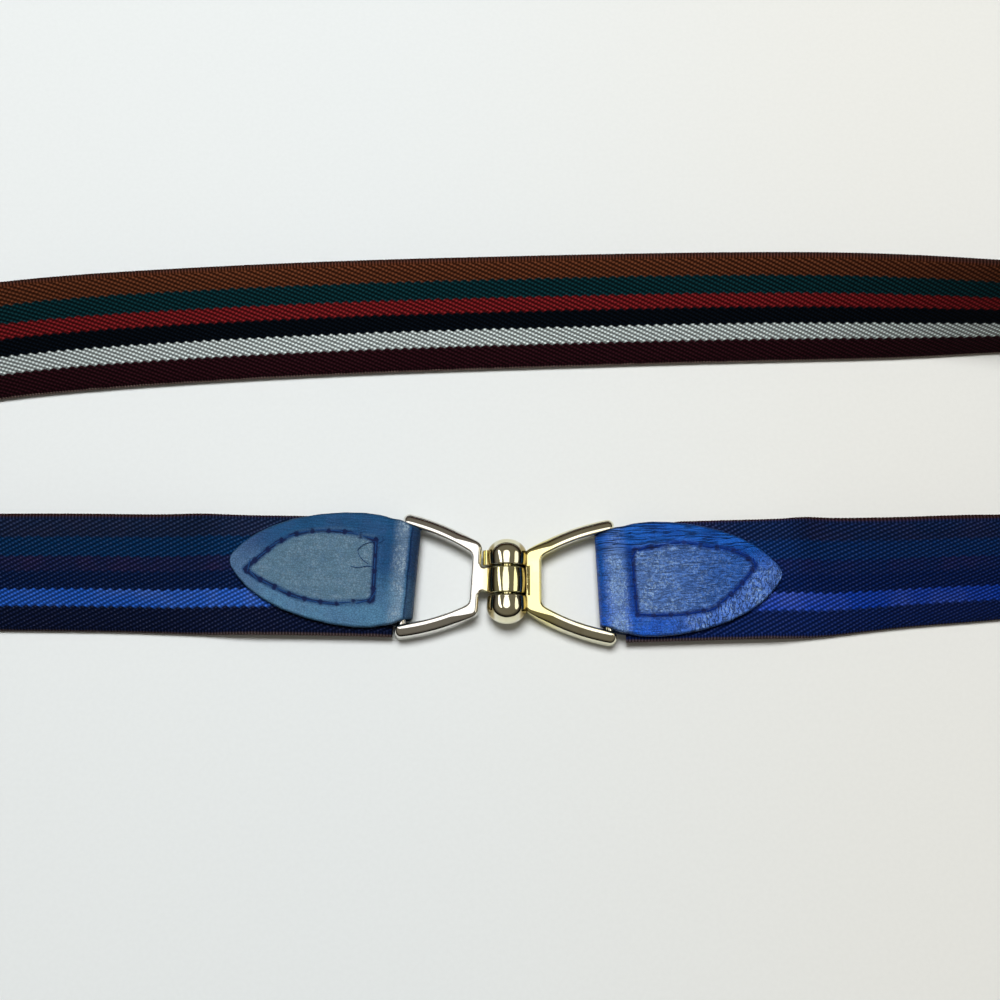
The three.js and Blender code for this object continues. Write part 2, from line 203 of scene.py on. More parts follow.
# Quads between rings of equal size, and a cap at each end
def ringFaces(count, size):
    i, j = np.meshgrid(np.arange(count - 1), np.arange(size), indexing="ij")
    a = i * size + j
    b = i * size + (j + 1) % size
    quads = np.stack([a, b, b + size, a + size], axis=-1).reshape(-1, 4)
    last = (count - 1) * size
    return [*quads.tolist(), list(range(size))[::-1], list(range(last, last + size))]


def flipped(faces):
    return [face[::-1] for face in faces]


# Splits the faces of more than four corners, because a cut could leave a hole in them
def splitCaps(item):
    body = bmesh.new()
    body.from_mesh(item.data)
    bmesh.ops.triangulate(body, faces=[face for face in body.faces if len(face.verts) > 4])
    body.to_mesh(item.data)
    body.free()
    return item


def finishedMesh(item):
    graph = bpy.context.evaluated_depsgraph_get()
    return bpy.data.meshes.new_from_object(item.evaluated_get(graph))


# Puts the result of the modifiers in the object's mesh, and takes them away
def applyChanges(item):
    mesh = finishedMesh(item)
    mesh.name = item.name
    item.modifiers.clear()
    item.data = mesh


def discard(item, store):
    data = item.data
    bpy.data.objects.remove(item)
    store.remove(data)


def giveFaceMap(mesh, name, places):
    corner = np.zeros(len(mesh.loops), np.int32)
    mesh.loops.foreach_get("vertex_index", corner)
    mesh.uv_layers.new(name=name).data.foreach_set("uv", places[corner].ravel())


def givePointValues(mesh, columns):
    for name, values in columns.items():
        mesh.attributes.new(name, "FLOAT", "POINT").data.foreach_set("value", values)


# How far along a line each of its points lies
def lengthsOf(line):
    return np.concatenate([[0], np.cumsum(np.linalg.norm(np.diff(line, axis=0), axis=1))])


def pointsAt(line, lengths, along):
    return np.stack([np.interp(along, lengths, column) for column in line.T], axis=1)


# Points at an even pitch along a line of straight pieces
def evenLine(line, pitch):
    line = np.array(line, float)
    lengths = lengthsOf(line)
    return pointsAt(line, lengths, np.linspace(0, lengths[-1], round(lengths[-1] / pitch) + 1))


# Points at an even pitch on a smooth curve through a few given ones
def smoothBend(points, pitch):
    rows = np.array(points, float)
    rows = np.vstack([2 * rows[0] - rows[1], rows, 2 * rows[-1] - rows[-2]])
    t = np.linspace(0, 1, 12, endpoint=False)[:, None]
    line = []
    for a, b, c, d in zip(rows, rows[1:], rows[2:], rows[3:]):
        second, third = a - 2.5 * b + 2 * c - d / 2, 1.5 * b - a / 2 - 1.5 * c + d / 2
        line.append(b + t * (c - a) / 2 + t**2 * second + t**3 * third)
    return evenLine(np.vstack([*line, rows[-2]]), pitch)


# A turn about the upright axis, as a matrix
def spinBy(degrees):
    a = math.radians(degrees)
    return np.array([[math.cos(a), -math.sin(a), 0], [math.sin(a), math.cos(a), 0], [0, 0, 1]])


camera = {"place": (-1.72, -38.75, 260.66), "tilt": 13.0, "lens": 37.8, "sensor": 36.0, "nearest": 0.01}
floorLook = {
    "size": 3.0,
    "colour": tone(226, 231, 232),
    # Painted light: the floor turns warmer towards the right, as under the warm lamp there
    "paintedWarmSide": tone(228, 229, 225),
    "warmReach": (-0.05, 0.12),  # from the left to the right, in metres
    "speckScale": 900.0,
    "speckShade": 0.985,
}
# The room round the table: dark at the height of the horizon and brown grey above it
surroundings = {
    "low": (0.006, 0.005, 0.004, 1),
    "high": (0.17, 0.155, 0.13, 1),
    "rise": (0.12, 0.5),
    "backdrop": (0.8, 0.82, 0.8, 1),
}
# Each light is a flat shape that faces the belt: its turns to the right of the zenith and to the
# far side in degrees, its distance and sides in metres and how bright it looks. The key light
# only lights the belt, and the metal only mirrors the others.
lights = {
    "key": dict(right=-4, far=22, reach=1.6, sides=(0.9, 0.7), twist=0, glow=17.0, colour=(1, 1, 1)),
    "overhead": dict(right=-2.5, far=4, reach=1.3, sides=(0.86, 1.15), twist=0, glow=1.6, colour=(1, 1, 1)),
    "left": dict(right=-41, far=8, reach=1.3, sides=(0.3, 1.2), twist=24, glow=2.2, colour=(0.97, 0.99, 1)),
    "right": dict(right=56, far=-2, reach=1.3, sides=(0.54, 1.1), twist=0, glow=1.4, colour=(1, 0.95, 0.8)),
}
lightCentre = (0, 0.02, 0)


def placeCamera():
    data = bpy.data.cameras.new("camera")
    data.lens = camera["lens"]
    data.sensor_width = camera["sensor"]
    data.clip_start = camera["nearest"]
    item = linked("camera", data)
    item.location = Vector(camera["place"]) * mm
    item.rotation_euler = (math.radians(camera["tilt"]), 0, 0)
    bpy.context.scene.camera = item


def layFloor():
    half = floorLook["size"] / 2 / mm
    corners = [(-half, -half, 0), (half, -half, 0), (half, half, 0), (-half, half, 0)]
    material, tree, surface = newMaterial("pale_table", Roughness=0.6, Specular_IOR_Level=0.2)
    place = objectPlace(tree)
    # Painted warm light towards the right of the floor
    warm = remap(tree, partsOf(tree, place)["X"], *floorLook["warmReach"])
    colour = mixColour(tree, warm, floorLook["colour"], floorLook["paintedWarmSide"])
    grain = noiseAt(tree, place, floorLook["speckScale"], 3.0)
    speck = remap(tree, grain, 0.3, 0.7, floorLook["speckShade"], 1.0)
    tree.links.new(mixColour(tree, 1.0, colour, speck, "MULTIPLY"), surface["Base Color"])
    floor = newPiece("floor", corners, [[0, 1, 2, 3]], material)


def hangLights():
    scene = bpy.context.scene
    world = bpy.data.worlds.new("surroundings")
    world.use_nodes = True
    tree = world.node_tree
    height = partsOf(tree, addNode(tree, "ShaderNodeTexCoord").outputs["Generated"])["Z"]
    rise = remap(tree, height, *surroundings["rise"])
    room = mixColour(tree, rise, surroundings["low"], surroundings["high"])
    seen = addNode(tree, "ShaderNodeLightPath").outputs["Is Camera Ray"]
    room = mixColour(tree, seen, room, surroundings["backdrop"])
    tree.links.new(room, tree.nodes["Background"].inputs["Color"])
    scene.world = world
    scene.view_settings.view_transform = "Standard"
    for name, light in lights.items():
        data = bpy.data.lights.new(name, "AREA")
        data.shape = "ELLIPSE"
        data.size, data.size_y = light["sides"]
        data.energy = light["glow"] * math.pi * math.pi / 4 * data.size * data.size_y
        data.color = light["colour"]
        right, far = math.radians(light["right"]), math.radians(light["far"])
        way = Vector((math.tan(right), math.tan(far), 1)).normalized()
        along = Vector((0, 1, 0)).cross(way).normalized()
        turn = Matrix((along, way.cross(along), way)).transposed()
        item = linked(name, data)
        item.location = way * light["reach"] + Vector(lightCentre)
        item.rotation_euler = (turn @ Matrix.Rotation(math.radians(light["twist"]), 3, "Z")).to_euler()
        item.visible_glossy = name != "key"
        item.visible_diffuse = name == "key"


placeCamera()
layFloor()
hangLights()
print("camera, floor and lights are placed")

webbing = {
    "width": 30.0,
    "thickness": 1.9,
    "lift": 1.6,  # of the lower edge between the leaves
    "facePanels": 12,
    "edgePanels": 6,
    "pickPitch": 0.77,  # of the yarns across
    "endPitch": 0.375,  # of the yarns along
    "ribDepth": 0.035,
    "cornerPull": 3.4,  # the ends are sewn in narrower
    "cornerLength": 15.0,
    "cornerCurve": 1.3,
    "selvage": 1.0,
    "selvageBlend": 0.4,
    "stripeBlend": 0.12,
    "tooth": 1.2,
    "drift": 0.5,
    "relief": 0.16,
    # Painted shade and highlight of the weave: share of colour on the lowest yarns, and gain on the raised
    # ones
    "deepShade": 0.25,
    "shadeGain": 2.1,
    "outerShadeEven": 0.15,  # the painted weave shade is weaker on the outer face
    "dyeChange": (300.0, 420.0),  # along the loop, out of sight
    # Where the painted shade of the back run grows towards the bends, and how dark it gets
    "bendReach": (0.045, 0.125),  # from the middle to the bends, in metres
    "bendShade": 0.8,
    "tipShare": 0.16,
    "tipColour": tone(118, 118, 132),
}
# Heights of the weave's waves, and of the cords that cross its selvages
twill = {"diagonal": 0.3, "rib": 0.06, "floats": 0.15, "cord": 0.34, "cordSunk": 0.06, "middle": 0.5}
# Stripes from the lower edge to the upper one: width, colour on the clean inner face, and on
# the outer face, which is rubbed dark blue, to the left and to the right of the clasp
stripes = [
    (0.7, (150, 128, 120), (32, 26, 38), (28, 27, 48)),
    (6.2, (41, 15, 22), (11, 20, 46), (12, 31, 80)),
    (4.4, (196, 207, 208), (29, 76, 162), (15, 54, 150)),
    (4.6, (6, 12, 20), (8, 26, 62), (8, 28, 76)),
    (3.8, (114, 28, 32), (18, 29, 64), (11, 32, 79)),
    (4.75, (11, 46, 52), (7, 41, 79), (10, 39, 87)),
    (5.1, (90, 49, 31), (20, 34, 62), (15, 33, 71)),
    (0.45, (66, 40, 28), (46, 30, 34), (44, 30, 38)),
]
# The route of its lower edge, as in the part: x, y, roll at the lower and at the upper edge, lift
routeRows = [
    (29.2, -14.1, 90, 90, 1), (44, -13.7, 90, 90, 1), (57, -13.3, 90, 90, 1), (67.5, -13.1, 90, 90, 1),
    (73, -13, 83, 84, 0.15), (78.5, -12.6, 67, 69, 0), (86, -11.6, 59, 62, 0), (97, -10.3, 52, 56, 0),
    (109, -9.3, 49, 55, 0), (128, -8, 42, 51, 0), (150, -3.4, 28, 36, 0), (171, 9.5, 9, 12, 0),
    (183, 30, -3, -4, 0), (174, 52, -11, -14, 0), (150, 62.8, -15, -20, 0), (126, 61.8, -21, -27, 0),
    (104, 60.3, -32, -37, 0), (78, 59.7, -40, -43, 0), (40, 58.8, -44, -45, 0), (0, 57.4, -47, -47, 0),
    (-40, 56, -49, -49, 0), (-80, 53.7, -51, -51, 0), (-116, 51, -54, -54, 0), (-145, 47.3, -48, -48, 0),
    (-168, 39.5, -29, -29, 0), (-184, 24, -6, -6, 0), (-183, 5, 19, 19, 0), (-166, -8, 43, 43, 0),
    (-142, -10.9, 60, 60, 0), (-116, -11.1, 64, 64, 0), (-98, -11.3, 65, 65, 0), (-88, -11.6, 66, 66, 0),
    (-80, -11.9, 70, 70, 0), (-73, -12.1, 83, 83, 0.1), (-66, -12.1, 90, 90, 1), (-56, -12.2, 90, 90, 1),
    (-43, -12.4, 90, 90, 1), (-28.1, -12.75, 90, 90, 1),
]


# Places on the smooth curve that the rows steer, t counted in rows
def routeAt(rows, t):
    rows = np.vstack([2 * rows[0] - rows[1], rows, 2 * rows[-1] - rows[-2]])
    start = np.clip(np.floor(t).astype(int), 0, len(rows) - 4)
    f = (t - start)[:, None]
    weights = [(1 - f) ** 3, 3 * f**3 - 6 * f**2 + 4, -3 * f**3 + 3 * f**2 + 3 * f + 1, f**3]
    return sum(weight * rows[start + k] for k, weight in enumerate(weights)) / 6


# Stations at an even pitch: how far along, the row there and the inward direction
def routeStations(pitch):
    rows = np.array(routeRows, float)
    fine = np.linspace(0, len(rows) - 1, 60 * len(rows))
    lengths = lengthsOf(routeAt(rows, fine)[:, :2])
    along = np.linspace(0, lengths[-1], round(lengths[-1] / pitch) + 1)
    places = routeAt(rows, np.interp(along, lengths, fine))
    ahead = np.gradient(places[:, :2], axis=0)
    ahead /= np.linalg.norm(ahead, axis=1)[:, None]
    return along, places, np.column_stack([-ahead[:, 1], ahead[:, 0], np.zeros(len(along))])


def makeWebbing(material):
    edge = webbing["thickness"] / 2
    along, places, inward = routeStations(webbing["pickPitch"] / 2)
    count = len(along)
    # The far edge draws in where the ends are sewn between the leaves
    fromEnd = np.minimum(along, along[-1] - along) / webbing["cornerLength"]
    pull = webbing["cornerPull"] * np.clip(1 - fromEnd, 0, 1) ** webbing["cornerCurve"]
    full = webbing["width"] - webbing["thickness"]
    span = (full - pull)[:, None]
    low, high = np.radians(places[:, 2]), np.radians(places[:, 3])
    # Every second station lies lower, which makes the ribs
    bulge = np.where(np.arange(count) % 2 == 0, edge, edge - 2 * webbing["ribDepth"])[:, None]
    upright = np.array([0, 0, 1.0])

    def across(roll):
        return np.cos(roll)[:, None] * upright + np.sin(roll)[:, None] * inward

    def outward(roll):
        return np.sin(roll)[:, None] * upright - np.cos(roll)[:, None] * inward

    panels = webbing["facePanels"]
    point = np.column_stack([places[:, :2], edge + webbing["lift"] * places[:, 4]])
    middle = []
    for k in range(panels + 1):
        middle.append((point, low + (high - low) * k / panels, edge + full * k / panels))
        point = point + across(low + (high - low) * (k + 0.5) / panels) * span / panels
    # The ring runs up the outer face, over the upper edge, down the inner face and round below
    bends = [math.pi * k / webbing["edgePanels"] for k in range(1, webbing["edgePanels"])]
    ring = [(row, 0.0) for row in middle] + [(middle[-1], angle) for angle in bends]
    ring += [(row, math.pi) for row in middle[::-1]] + [(middle[0], math.pi + angle) for angle in bends]
    lines, heights, outer = [], [], []
    for (at, roll, height), angle in ring:
        lines.append(at + bulge * (outward(roll) * math.cos(angle) + across(roll) * math.sin(angle)))
        heights.append(height + edge * math.sin(angle))
        outer.append(abs(1 - angle / math.pi))
    size = len(ring)
    points = np.stack(lines, axis=1).reshape(-1, 3)
    item = newPiece("striped_webbing", points, flipped(ringFaces(count, size)), material)
    spots = np.column_stack([np.repeat(along, size), np.tile(heights, count)])
    giveFaceMap(item.data, "weave", spots / webbing["width"])
    givePointValues(item.data, {"outerFace": np.tile(outer, count)})
    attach(item, "root")
    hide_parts("elastic_webbing")


# A 2/1 twill from the place along and across in millimetres: the yarns' height, and the teeth
# that they give to the borders of the stripes
def weaveGroup():
    sockets = floats("Along", "Across", "Pick Pitch", "End Pitch", "Selvage")
    tree, given, result = newGroup("twill_weave", "ShaderNodeTree", sockets, floats("Height", "Tooth"))
    picks = maths(tree, "DIVIDE", given["Along"], given["Pick Pitch"])
    ends = maths(tree, "DIVIDE", given["Across"], given["End Pitch"])

    def wave(pickShare, endShare):
        turns = plus(tree, times(tree, picks, pickShare), times(tree, ends, endShare))
        return maths(tree, "COSINE", times(tree, turns, math.tau))

    rib = wave(1, 0)
    slope = times(tree, wave(-1 / 3, 1 / 3), twill["diagonal"])
    height = plus(tree, slope, times(tree, rib, twill["rib"]))
    height = plus(tree, height, times(tree, wave(2 / 3, 1 / 3), twill["floats"]))
    cord = minus(tree, times(tree, rib, twill["cord"]), twill["cordSunk"])
    height = plus(tree, height, times(tree, minus(tree, cord, height), given["Selvage"]))
    tree.links.new(plus(tree, height, twill["middle"]), result["Height"])
    third = maths(tree, "FRACT", maths(tree, "DIVIDE", picks, 3.0))
    tooth = minus(tree, maths(tree, "PINGPONG", third, 0.5), 0.25)
    tree.links.new(times(tree, tooth, without(tree, given["Selvage"])), result["Tooth"])
    return tree


def stripeStops(column):
    stops, height, soft = [], 0.0, webbing["stripeBlend"]
    for row in stripes:
        for place in (height + soft, height + row[0] - soft):
            stops.append((place / webbing["width"], tone(*row[column])))
        height += row[0]
    return stops


def webbingMaterial():
    width = webbing["width"]
    material, tree, surface = newMaterial("striped_webbing", Roughness=0.9, Specular_IOR_Level=0.04)
    place = facePlace(tree, "weave")
    along, across = (times(tree, part, width) for part in partsOf(tree, place)[:2])
    outer = pointValue(tree, "outerFace")
    rim = maths(tree, "MINIMUM", across, minus(tree, width, across))
    selvage = remap(tree, rim, webbing["selvage"], webbing["selvage"] + webbing["selvageBlend"], 1.0, 0.0)
    yarns = {"Pick Pitch": webbing["pickPitch"], "End Pitch": webbing["endPitch"], "Selvage": selvage}
    weave = useGroup(tree, weaveGroup(), {"Along": along, "Across": across, **yarns})
    # The borders of the stripes are toothed and drift a little
    tooth = times(tree, weave["Tooth"], webbing["tooth"])
    drift = times(tree, minus(tree, noiseAt(tree, place, 9.0), 0.5), webbing["drift"])
    shifted = maths(tree, "DIVIDE", plus(tree, across, tooth, drift), width, clamp=True)
    inner, dyedLeft, dyedRight = (ramp(tree, shifted, stripeStops(column)) for column in (1, 2, 3))
    dyed = mixColour(tree, remap(tree, along, *webbing["dyeChange"]), dyedRight, dyedLeft)
    patch = remap(tree, noiseAt(tree, place, 1.7, 4.0, 0.6), 0.3, 0.6, 0.95, 1.0)
    colour = mixColour(tree, times(tree, outer, patch), inner, dyed)
    # Painted shade and highlight: the low yarns of the weave are darker and the raised ones lighter, less so
    # on the outer face
    raised = maths(tree, "POWER", maths(tree, "MAXIMUM", weave["Height"], 0.0), 2.0)
    shade = plus(tree, times(tree, raised, webbing["shadeGain"]), webbing["deepShade"])
    even = times(tree, minus(tree, 0.9, shade), webbing["outerShadeEven"])
    shade = plus(tree, shade, times(tree, even, outer))
    fibre = remap(tree, noiseAt(tree, place, 160.0), 0.25, 0.75, 0.85, 1.15)
    # Painted shade: the clean back run is darker towards the bends, where it turns away from the light
    side = maths(tree, "ABSOLUTE", partsOf(tree, objectPlace(tree))["X"])
    dull = remap(tree, side, *webbing["bendReach"], 1.0, webbing["bendShade"])
    shade = times(tree, shade, fibre, maths(tree, "MAXIMUM", dull, outer))
    colour = mixColour(tree, 1.0, colour, shade, "MULTIPLY")
    # Pale tips of yarn in patches of the rubbed face
    tips = remap(tree, weave["Height"], 0.62, 1.0)
    tips = times(tree, tips, remap(tree, noiseAt(tree, place, 90.0), 0.4, 0.65), outer, webbing["tipShare"])
    colour = mixColour(tree, tips, colour, webbing["tipColour"])
    tree.links.new(colour, surface["Base Color"])
    tree.links.new(bumpAt(tree, weave["Height"], webbing["relief"]), surface["Normal"])
    return material


makeWebbing(webbingMaterial())
print("webbing is woven")

tabs = {
    "thickness": 1.3,
    "loopRadius": 2.9,  # from the crossbar's axis to the outer face of the fold
    "axisHeight": 3.6,
    "upperLevel": 4.45,  # of the leaf's middle, as the lower one
    "lowerLevel": 0.65,
    "upperStep": 6.0,  # over which a leaf comes from the fold to its level
    "lowerStep": 4.0,
    "edgeRound": 0.4,
    "pitch": 0.32,
    "facePanels": 84,
    "lowerPanels": 18,
    "foldPanels": 21,
    "outlineBlend": 8,  # points on either side that round the outline, but not at its tip
    "tipFrom": 0.9,
    "tipBlend": 0.08,
    "dentDepth": 0.32,  # of the groove under the stitches
    "dentWidth": 0.55,
    "dentEven": 0.55,
    "edgeFall": 0.12,
    "edgeReach": 1.6,
    "waveHeight": 0.1,  # slow unevenness of the upper leaf
    "waveScale": 0.11,
    "waveFrom": 3.0,
    "fieldBlend": 1.2,
    "mapSize": 46.0,
}
# Half width of a leaf at shares of its length
leafRows = [
    (0.0, 11.1), (0.06, 11.9), (0.1, 13.0), (0.15, 13.3), (0.21, 14.0), (0.31, 14.3), (0.42, 14.0),
    (0.55, 13.1), (0.69, 11.4), (0.8, 9.2), (0.89, 6.7), (0.955, 3.9), (0.99, 1.9), (1.0, 0.7),
]
# Each tab: its place and turn, and its stitch line as distance from the fold and side
tabSides = {
    "left": {
        "place": (-25.15, 1.94),
        "turn": 175.5,
        "length": 46.2,
        "line": [
            (10.8, -7.7), (12.3, -8.0), (16.3, -8.7), (20, -9.1), (24, -9.1), (27.5, -8.6), (31.4, -7.3),
            (35.5, -4.8), (39, -1.2), (42.3, 2.2), (39, 4.1), (36, 5.4), (32.6, 6.7), (28.7, 8.1),
            (24.8, 8.8), (20.8, 9.0), (17, 8.5), (13, 8.1), (10, 7.7), (10.4, 0.11), (10.8, -7.7),
        ],
    },
    "right": {
        "place": (25.2, 0.1),
        "turn": 2.3,
        "length": 45.3,
        "line": [
            (9.1, -8.7), (14, -9.1), (20, -9.25), (27.4, -8.3), (32.2, -4.9), (34.5, -2.9), (36.8, -0.6),
            (39.2, 2.3), (37, 4.4), (34.3, 6.0), (30.8, 6.9), (27.8, 7.3), (23.9, 8.2), (19.4, 8.6),
            (15, 8.0), (9.1, 7.1), (8.9, 0.11), (9.1, -8.7),
        ],
    },
}
stitch = {
    "pitch": 4.1,
    "share": 0.94,  # of the pitch that a stitch takes
    "radius": 0.21,
    "level": 5.03,
    "sag": 0.32,  # of its ends into the holes
    "rise": 0.15,
    "looseRadius": 0.075,
}
# The thread's loose end and a loose strand on the left tab, in the part's frame
looseThreads = [
    [
        (-32.0, 9.6, 4.9), (-33.4, 9.6, 5.25), (-35.2, 9.0, 5.4), (-36.6, 7.9, 5.4), (-36.7, 6.8, 5.4),
        (-35.9, 5.5, 5.35), (-34.2, 4.0, 5.25),
    ],
    [(-38.4, 3.45, 5.2), (-36.5, 3.2, 5.35), (-34.4, 3.5, 5.3), (-32.4, 3.3, 5.0)],
    [(-32.3, 10.2, 4.9), (-31.4, 9.5, 5.3), (-30.6, 10.2, 5.3), (-31.0, 10.9, 5.2)],
]


# The seam's points at a fine pitch, how far along each lies, and the even stitch pitch
def seamPath(side):
    path = evenLine(tabSides[side]["line"], 0.3)
    lengths = lengthsOf(path)
    return path, lengths, lengths[-1] / round(lengths[-1] / stitch["pitch"])


# The turn and the place that bring a tab's own points into the part's frame
def tabFrame(side):
    return spinBy(tabSides[side]["turn"]), np.array([*tabSides[side]["place"], 0])


def insideLine(places, line):
    line = np.array(line, float)
    count = np.zeros(len(places), int)
    for (x0, y0), (x1, y1) in zip(line, np.roll(line, -1, axis=0)):
        if y0 == y1:
            continue
        share = (places[:, 1] - y0) / (y1 - y0)
        count += (share >= 0) & (share < 1) & (places[:, 0] < x0 + share * (x1 - x0))
    return count % 2 == 1


def leafHalfWidth(distance, length):
    fine = np.linspace(0, 1, 401)
    wide = np.interp(fine, *np.array(leafRows).T)
    near = tabs["outlineBlend"]
    weights = np.ones(2 * near + 1) / (2 * near + 1)
    soft = np.convolve(np.pad(wide, near, mode="edge"), weights, mode="valid")
    tip = np.clip((fine - tabs["tipFrom"]) / tabs["tipBlend"], 0, 1)
    return np.interp(distance / length, fine, soft * (1 - tip) + wide * tip)


# Middle line of the strip seen from the side, from the upper tip round the fold to the lower,
# and 1 for its points on the leaves and 0 on the fold
def leatherLine(length):
    radius = tabs["loopRadius"] - tabs["thickness"] / 2
    reaches = np.linspace(length - tabs["loopRadius"], 0, round(length / tabs["pitch"]))

    def leaf(level, turn, step):
        share = np.clip(reaches / step, 0, 1)
        return np.column_stack([reaches, turn + (level - turn) * share * share * (3 - 2 * share)])

    upper = leaf(tabs["upperLevel"], tabs["axisHeight"] + radius, tabs["upperStep"])
    lower = leaf(tabs["lowerLevel"], tabs["axisHeight"] - radius, tabs["lowerStep"])
    angles = np.radians(np.linspace(90, 270, tabs["foldPanels"] + 1))[1:-1]
    fold = np.column_stack([radius * np.cos(angles), tabs["axisHeight"] + radius * np.sin(angles)])
    onLeaf = np.repeat([1.0, 0.0, 1.0], [len(upper), len(fold), len(lower)])
    return np.vstack([upper, fold, lower[::-1]]), onLeaf


def gapsTo(places, line):
    return np.linalg.norm(places[:, None] - line[None], axis=2)


def makeTab(name, side, node, material):
    length = tabSides[side]["length"]
    line, onLeaf = leatherLine(length)
    count = len(line)
    ahead = np.gradient(line, axis=0)
    ahead /= np.linalg.norm(ahead, axis=1)[:, None]
    fromFold = line[:, 0] + tabs["loopRadius"]
    half = leafHalfWidth(fromFold, length)
    thick, edge = tabs["thickness"] / 2, tabs["edgeRound"]
    # Ring from the near side over the outer face to the far side and back along the inner face
    bends = np.radians((30, 60, 90, 120, 150))
    ring = [(share, 0.0) for share in np.linspace(-1, 1, tabs["facePanels"] + 1)]
    ring += [(1.0, angle) for angle in bends]
    ring += [(share, math.pi) for share in np.linspace(1, -1, tabs["lowerPanels"] + 1)]
    ring += [(-1.0, angle) for angle in bends[::-1]]
    path, pathLengths, pitch = seamPath(side)
    lines = []
    for share, angle in ring:
        up = math.cos(angle)
        raised = np.full(count, math.copysign(thick - edge, up) + edge * up if abs(up) > 1e-6 else 0.0)
        flat = share * (half - edge)
        if angle == 0.0:
            # The stitches press a groove, deepest at their holes, and the leaf thins at its rim
            apart = gapsTo(np.column_stack([fromFold, flat]), path)
            turns = np.cos(math.tau * pathLengths[apart.argmin(axis=1)] / pitch)
            beat = tabs["dentEven"] + (1 - tabs["dentEven"]) * turns
            dent = beat * tabs["dentDepth"] * np.exp(-((apart.min(axis=1) / tabs["dentWidth"]) ** 2))
            fromRim = np.clip((half - abs(flat)) / tabs["edgeReach"], 0, 1)
            raised -= onLeaf * (dent + tabs["edgeFall"] * (1 - fromRim) ** 2)
        width = flat + math.copysign(edge * math.sin(angle), share)
        x, z = line[:, 0] - ahead[:, 1] * raised, line[:, 1] + ahead[:, 0] * raised
        lines.append(np.column_stack([x, width, z]))
    size = len(ring)
    points = np.stack(lines, axis=1).reshape(-1, 3)
    wave = np.array([noise.noise(Vector(point) * tabs["waveScale"]) for point in points])
    wavy = np.tile([angle == 0.0 for _, angle in ring], count) & (points[:, 2] > tabs["waveFrom"])
    points[:, 2] += tabs["waveHeight"] * wave * wavy
    spots = np.column_stack([np.repeat(fromFold, size), points[:, 1]])
    spin, shift = tabFrame(side)
    item = newPiece(name, points @ spin.T + shift, flipped(ringFaces(count, size)), material)
    gap = gapsTo(spots, path).min(axis=1)
    holes = pointsAt(path, pathLengths, np.arange(0, pathLengths[-1], pitch))
    inward = np.where(insideLine(spots, tabSides[side]["line"]), gap, -gap)
    columns = {
        "stitchGap": gap,
        "holeGap": gapsTo(spots, holes).min(axis=1),
        "sewnField": np.clip(0.5 + inward / tabs["fieldBlend"], 0, 1),
        "rimGap": np.repeat(half, size) - abs(spots[:, 1]),
    }
    giveFaceMap(item.data, "leaf", spots / tabs["mapSize"])
    givePointValues(item.data, columns)
    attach(item, "root")
    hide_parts(node)


# Leather from the place in its leaf in millimetres: relief, and masks of rubbed and dark spots
def leatherGroup():
    sockets = {"Place": "Vector", **floats("Grain", "Wrinkle", "Ribs", "Crumple")}
    masks = floats("Height", "Rubbed", "Dark")
    tree, given, result = newGroup("leather_grain", "ShaderNodeTree", sockets, masks)
    place = given["Place"]

    def lines(vector, width, detail=2.0):
        away = maths(tree, "ABSOLUTE", minus(tree, noiseAt(tree, vector, 1.0, detail, 0.55), 0.5))
        return remap(tree, away, 0.0, width)

    pores = {"Vector": place, "Scale": 1.7, "Randomness": 1.0}
    cells = addNode(tree, "ShaderNodeTexVoronoi", pores, feature="DISTANCE_TO_EDGE").outputs["Distance"]
    pebble = times(tree, remap(tree, cells, 0.0, 0.2), given["Grain"])
    # Long wrinkles run from the fold to the tip, and crumpled ones cross the border
    drift = addNode(tree, "ShaderNodeCombineXYZ", {1: times(tree, noiseAt(tree, place, 0.1), 2.0)}).outputs[0]
    bent = addNode(tree, "ShaderNodeVectorMath", {0: place, 1: drift}, operation="ADD").outputs[0]
    crease = times(tree, lines(stretched(tree, bent, (0.07, 1.5, 1.0)), 0.045, 2.5), given["Wrinkle"])
    crumple = times(tree, lines(stretched(tree, bent, (0.9, 0.42, 1.0), 58), 0.06), given["Crumple"])
    ribs = noiseAt(tree, stretched(tree, place, (0.6, 1.9, 1.0)), 1.0, 2.0, 0.6)
    ribs = times(tree, remap(tree, ribs, 0.42, 0.58), given["Ribs"])
    tree.links.new(plus(tree, plus(tree, pebble, crease), plus(tree, ribs, crumple)), result["Height"])
    cloud = remap(tree, noiseAt(tree, place, 0.22, 4.0, 0.62), 0.36, 0.62)
    speck = noiseAt(tree, stretched(tree, place, (1.7, 1.2, 1.0)), 1.0, 3.0, 0.65)
    tree.links.new(times(tree, cloud, remap(tree, speck, 0.42, 0.6)), result["Rubbed"])
    dark = remap(tree, noiseAt(tree, place, 0.4, 3.0, 0.6), 0.34, 0.5)
    tree.links.new(without(tree, dark), result["Dark"])
    return tree


# Where marks lie on both leathers, from the fold, from the middle line to the far side, or from
# the stitches and the rim
marks = {
    "farBorder": (5.5, 8.5),
    "nearEdge": (2.0, -8.0),
    "slantFrom": 28.0,  # the near edge slants in towards the tip
    "slant": 0.4,
    "nearReach": (13.0, 27.0),
    "nearLeast": 0.14,
    "tip": (33.0, 43.0),
    "fieldSpared": 0.8,
    # Where the painted highlight at the fold fades towards the far side
    "foldHighlightSide": (5.0, 10.5),
    "fieldReach": (9.0, 36.0),
    "mostRubbed": 0.9,
    "leastRubbed": 0.35,
    "wobble": 0.7,
    # Reach of the painted shade beside the seam, in its groove and at its holes
    "seamShade": (1.15, 0.5),
    # Where the painted shade band lies between the fold and the seam
    "valleyShade": (6.2, 8.0, 9.0, 9.4),
    "valleySide": (9.5, 7.5),
    "groove": (0.62, 0.38),
    "hole": (1.0, 0.6),
    "rim": (0.75, 0.15),
    "rimShare": 0.8,
    "crestShade": 1.12,
    "rubbedShine": 0.12,
    "creaseDepth": 3.0,
}
